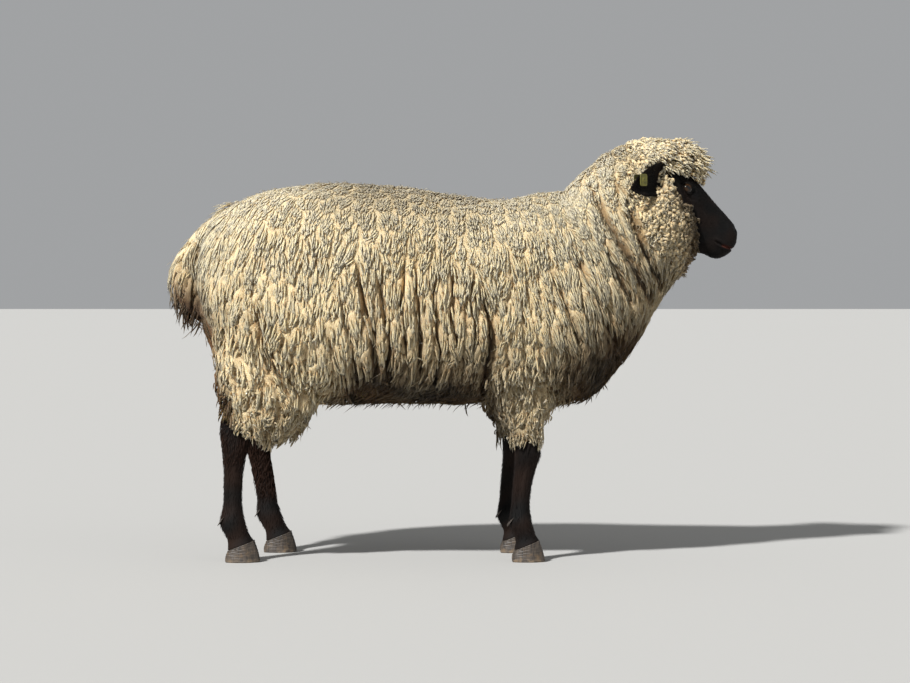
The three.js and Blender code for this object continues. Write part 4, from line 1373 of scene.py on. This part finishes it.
def skin_paint():
    """Dark yellow-brown skin under the fleece as painted shade for deep gaps in the wool, near-black hair on
    the bare parts, dark leather at the nose.
    """
    paint = Paint("skin", Sheen_Weight=0.0, Specular_IOR_Level=0.10)
    place = paint.place()
    wool, wet, lip, rust = (paint.mark(name) for name in ("wool", "wet", "lip", "rust"))
    strip = paint.noise(paint.stretch(paint.layer("OFBake"), (300.0, 900.0, 1.0)), 1.0, 3.0)
    grain = paint.noise(place, 900.0, 3.0)
    patch = paint.noise(place, 26.0, 3.0)
    bare = paint.mix(patch.between(0.35, 0.7), srgb(6, 6, 6), srgb(13, 12, 11))
    bare = paint.mix(strip.between(0.45, 0.75) * 0.5, bare, srgb(24, 21, 19))
    bare = paint.mix(rust * 0.45, bare, srgb(48, 30, 20))
    bare = paint.mix(wet, bare, srgb(15, 13, 13))
    bare = paint.mix(lip * 0.8, bare, srgb(84, 42, 32))
    # painted shade: the skin under the wool is a dark yellow-brown, so that gaps down to it read as deep
    # shade
    under = paint.mix(patch.between(0.3, 0.7), srgb(120, 92, 54), srgb(168, 134, 86))
    paint.set("Base Color", paint.mix(wool, bare, under))
    paint.set("Roughness", (1 - wet) * 0.30 + 0.34 + wool * 0.25 + grain * 0.1)
    pebbles = paint.node("ShaderNodeTexVoronoi", {"feature": "SMOOTH_F1"},
                         {"Vector": place, "Scale": 620.0}, "Distance")
    paint.bump(strip * (1 - wet) * 0.8 + pebbles * wet * 0.9 + grain * 0.25, 0.0012, 0.8)
    return paint.material


def hair_paint():
    """Near-black hair, browner where it is worn or stained."""
    paint = Paint("short_hair", Roughness=0.55, Specular_IOR_Level=0.12)
    strand, lot, rust = (paint.mark(name) for name in ("strand", "lot", "rust"))
    lines = paint.noise(paint.stretch(paint.layer("Fibre"), (10.0, 0.3, 1.0)), 1.0, 2.0, lot * 60)
    hair = paint.mix(lot * 0.7 + lines * 0.3, srgb(6, 6, 6), srgb(15, 13, 12))
    hair = paint.mix(strand.between(0.3, 1.0) * 0.4, hair, srgb(28, 24, 21))
    paint.set("Base Color", paint.mix(rust * 0.5, hair, srgb(56, 34, 22)))
    paint.bump(lines, 0.0006, 0.7)
    return paint.material


def horn_paint():
    """Dark horn with growth lines across the wall and dry, scuffed, soiled edges low down."""
    paint = Paint("horn")
    place = paint.place()
    height = paint.axis(place, "Z")
    streak = paint.noise(paint.stretch(place, (500.0, 500.0, 40.0)), 1.0, 3.0)
    growth = (height * 1900 + streak * 5).sine()
    patch = paint.noise(place, 90.0, 4.0)
    horn = paint.mix(streak.between(0.3, 0.7), srgb(38, 33, 29), srgb(74, 64, 54))
    worn = (1 - height.between(0.001, 0.012)) * patch.between(0.4, 0.6)
    horn = paint.mix(worn * 0.7, horn, srgb(120, 104, 84))
    soiled = patch.between(0.5, 0.75) * (1 - height.between(0.01, 0.05))
    horn = paint.mix(soiled * 0.6, horn, srgb(110, 88, 62))
    paint.set("Base Color", horn)
    paint.set("Roughness", streak * 0.2 + worn * 0.3 + 0.42)
    paint.bump(growth * 0.25 + streak * 0.5 + patch * 0.3, 0.0008, 0.8)
    return paint.material


def eye_paint():
    """Amber iris with fine spokes, a dark rim, a level slot of a pupil, and a brown white of the eye."""
    paint = Paint("eye", Roughness=0.25, Coat_Weight=0.5, Coat_Roughness=0.03, Specular_IOR_Level=0.1)
    gaze = paint.layer("Gaze")
    x, y = paint.axis(gaze, "X"), paint.axis(gaze, "Y")
    radius = (x * x + y * y) ** 0.5
    turn = paint.node("ShaderNodeMath", {"operation": "ARCTAN2"}, {0: y, 1: x})
    spokes = paint.noise(paint.node("ShaderNodeCombineXYZ", {}, {0: turn * 9, 1: radius * 0.35}), 1.0, 3.0)
    iris = paint.mix(spokes.between(0.3, 0.7), srgb(28, 17, 8), srgb(60, 38, 17))
    iris = paint.mix(radius.between(7.0, 10.4), iris, srgb(12, 8, 5))
    slot = (((x * 0.16) ** 2) ** 1.5 + ((y * 0.36) ** 2) ** 1.5).between(0.8, 1.1)
    iris = paint.mix(slot, srgb(5, 6, 9), iris)
    white = paint.mix(paint.noise(gaze, 0.5, 3.0).between(0.4, 0.7), srgb(22, 15, 12), srgb(44, 33, 27))
    paint.set("Base Color", paint.mix(radius.between(10.8, 11.6), iris, white))
    return paint.material


def tag_paint(name, colour):
    """Weathered moulded plastic: slightly blotched and scuffed."""
    paint = Paint(name, Roughness=0.45)
    place = paint.place()
    patch = paint.noise(place, 70.0, 4.0)
    scuff = paint.noise(paint.stretch(place, (200, 200, 1600)), 1.0, 2.0)
    dark, pale = tuple(c * 0.55 for c in colour), tuple(c * 1.5 + 0.05 for c in colour)
    base = paint.mix(patch.between(0.45, 0.75) * 0.5, colour, dark)
    paint.set("Base Color", paint.mix(scuff.between(0.6, 0.75) * 0.35, base, pale))
    paint.set("Roughness", patch * 0.3 + 0.3)
    paint.bump(patch * 0.6 + scuff * 0.4, 0.0003, 0.6)
    return paint.material


def wetness(points):
    """1 on the bare nose pad round the nostrils, 0 elsewhere."""
    x, z = points[:, 0], points[:, 2]
    return ease(-5, 3, x + 0.42 * (z - 712) - 619) * ease(694, 702, z) * (1 - ease(722, 732, z))


def rustiness(points):
    """Brown stain in patches on the shanks, and a little of it on the face."""
    z = points[:, 2]
    legs = (z < 280) * (0.35 + 0.5 * ripple(points, 70, 14))
    return np.clip(np.where(z < 600, legs, 0.15 + 0.25 * ripple(points, 60, 15)), 0, 1)


def lips(points):
    """The inner edges of the lips, where hair gives way to skin."""
    far = side_distance(points[:, 0], points[:, 2], [(640, 667), (609, 678.5), (592, 684)])
    return bell(far, 2.6) * (points[:, 0] > 585)


# ---- The whole animal ----


def outlines():
    """The coat's outer surfaces as separate closed tubes."""
    grids = [torso_grid(110, 72, coat=0.0), tail_grid(0), crown_grid()]
    return grids + [upper_leg_grid(fore, hand, 0) for fore, hand in LEGS]


FLESH = ["trunk", "neck", "head", "tail", "ear_left", "ear_right"] + [
    f"{leg}_{half}_{hand}"
    for leg in ("foreleg", "hindleg") for half in ("upper", "lower") for hand in ("left", "right")
]


def sheep():
    """The skin first, then everything that stands on it."""
    skin = build_skin()
    ground = Ground(skin, Outline(outlines()))
    places = ground.corners
    bare = (places[:, 0] > HEAD_FROM) & ((wool_inside(places) < 14) | (eye_distance(places) < 40))
    add_marks(skin.data, {"wool": ease(3, 8, ground.reach_at) * ~bare, "wet": wetness(places),
                          "lip": lips(places), "rust": rustiness(places)})
    finish_piece(skin, skin_paint(), "skin", *FLESH)
    wool, hair, horn, eye = fleece_paint(), hair_paint(), horn_paint(), eye_paint()
    clumps = Clumps(ground, CLUMP_COUNT)
    for layer in (bed, fleece, knobs, curls, strays):
        layer(ground, clumps, wool)
    short_hair(ground, hair)
    lashes(hair)
    for hand in (-1, 1):
        eyeball(hand, eye)
    hooves(horn)
    dewclaws(horn)
    # painted shade: the yellow tag is painted dark olive for the ear's shadow, and its rear plate darker
    # still
    ear_tag(tag_paint("tag_front", srgb(94, 90, 30)), tag_paint("tag_rear", srgb(62, 58, 28)))


FLOOR_HALF, FLOOR_COLOUR = 60, srgb(164, 163, 160)
SKY_COLOUR, SKY_STRENGTH = srgb(232, 234, 236), 0.44
# each light's turn about X, Y and Z, its strength, and how many degrees across it looks
LIGHTS = {"key": ((0.80, -0.12, -0.52), 6.3, 4), "fill": ((1.2, 0.0, 0.8), 0.30, 60)}
CAMERA_AIM, CAMERA_PLACE = Vector((0.0055, 0.0, 0.474)), Vector((0.0055, -6.0, 0.60))
VIEW_WIDTH = 2.002  # metres across the picture at the aim
SENSOR = 36


def studio():
    """A pale floor under a pale sky, with a key light from the animal's side and a soft fill."""
    floor = bpy.data.meshes.new("floor")
    ends = ((-1, -1), (1, -1), (1, 1), (-1, 1))
    floor.from_pydata([(x * FLOOR_HALF, y * FLOOR_HALF, 0) for x, y in ends], [], [(0, 1, 2, 3)])
    made = bpy.data.objects.new("floor", floor)
    bpy.context.scene.collection.objects.link(made)
    floor.materials.append(Paint("floor", Base_Color=(*FLOOR_COLOUR, 1), Roughness=0.9).material)
    world = bpy.data.worlds.new("studio")
    world.use_nodes = True
    sky = world.node_tree.nodes["Background"]
    sky.inputs["Color"].default_value = (*SKY_COLOUR, 1)
    sky.inputs["Strength"].default_value = SKY_STRENGTH
    bpy.context.scene.world = world
    for name, (angle, power, soft) in LIGHTS.items():
        lamp = bpy.data.lights.new(name, "SUN")
        lamp.energy, lamp.angle = power, math.radians(soft)
        made = bpy.data.objects.new(name, lamp)
        made.rotation_euler = angle
        bpy.context.scene.collection.objects.link(made)
    bpy.context.scene.view_settings.view_transform = "Standard"


def camera():
    """Level with the animal's side, far enough away for the long view of its proportions."""
    lens = bpy.data.cameras.new("camera")
    made = bpy.data.objects.new("camera", lens)
    bpy.context.scene.collection.objects.link(made)
    gaze = CAMERA_AIM - CAMERA_PLACE
    made.location = CAMERA_PLACE
    made.rotation_euler = gaze.to_track_quat("-Z", "Y").to_euler()
    lens.sensor_width, lens.lens = SENSOR, SENSOR * gaze.length / VIEW_WIDTH
    bpy.context.scene.camera = made


sheep()
studio()
camera()
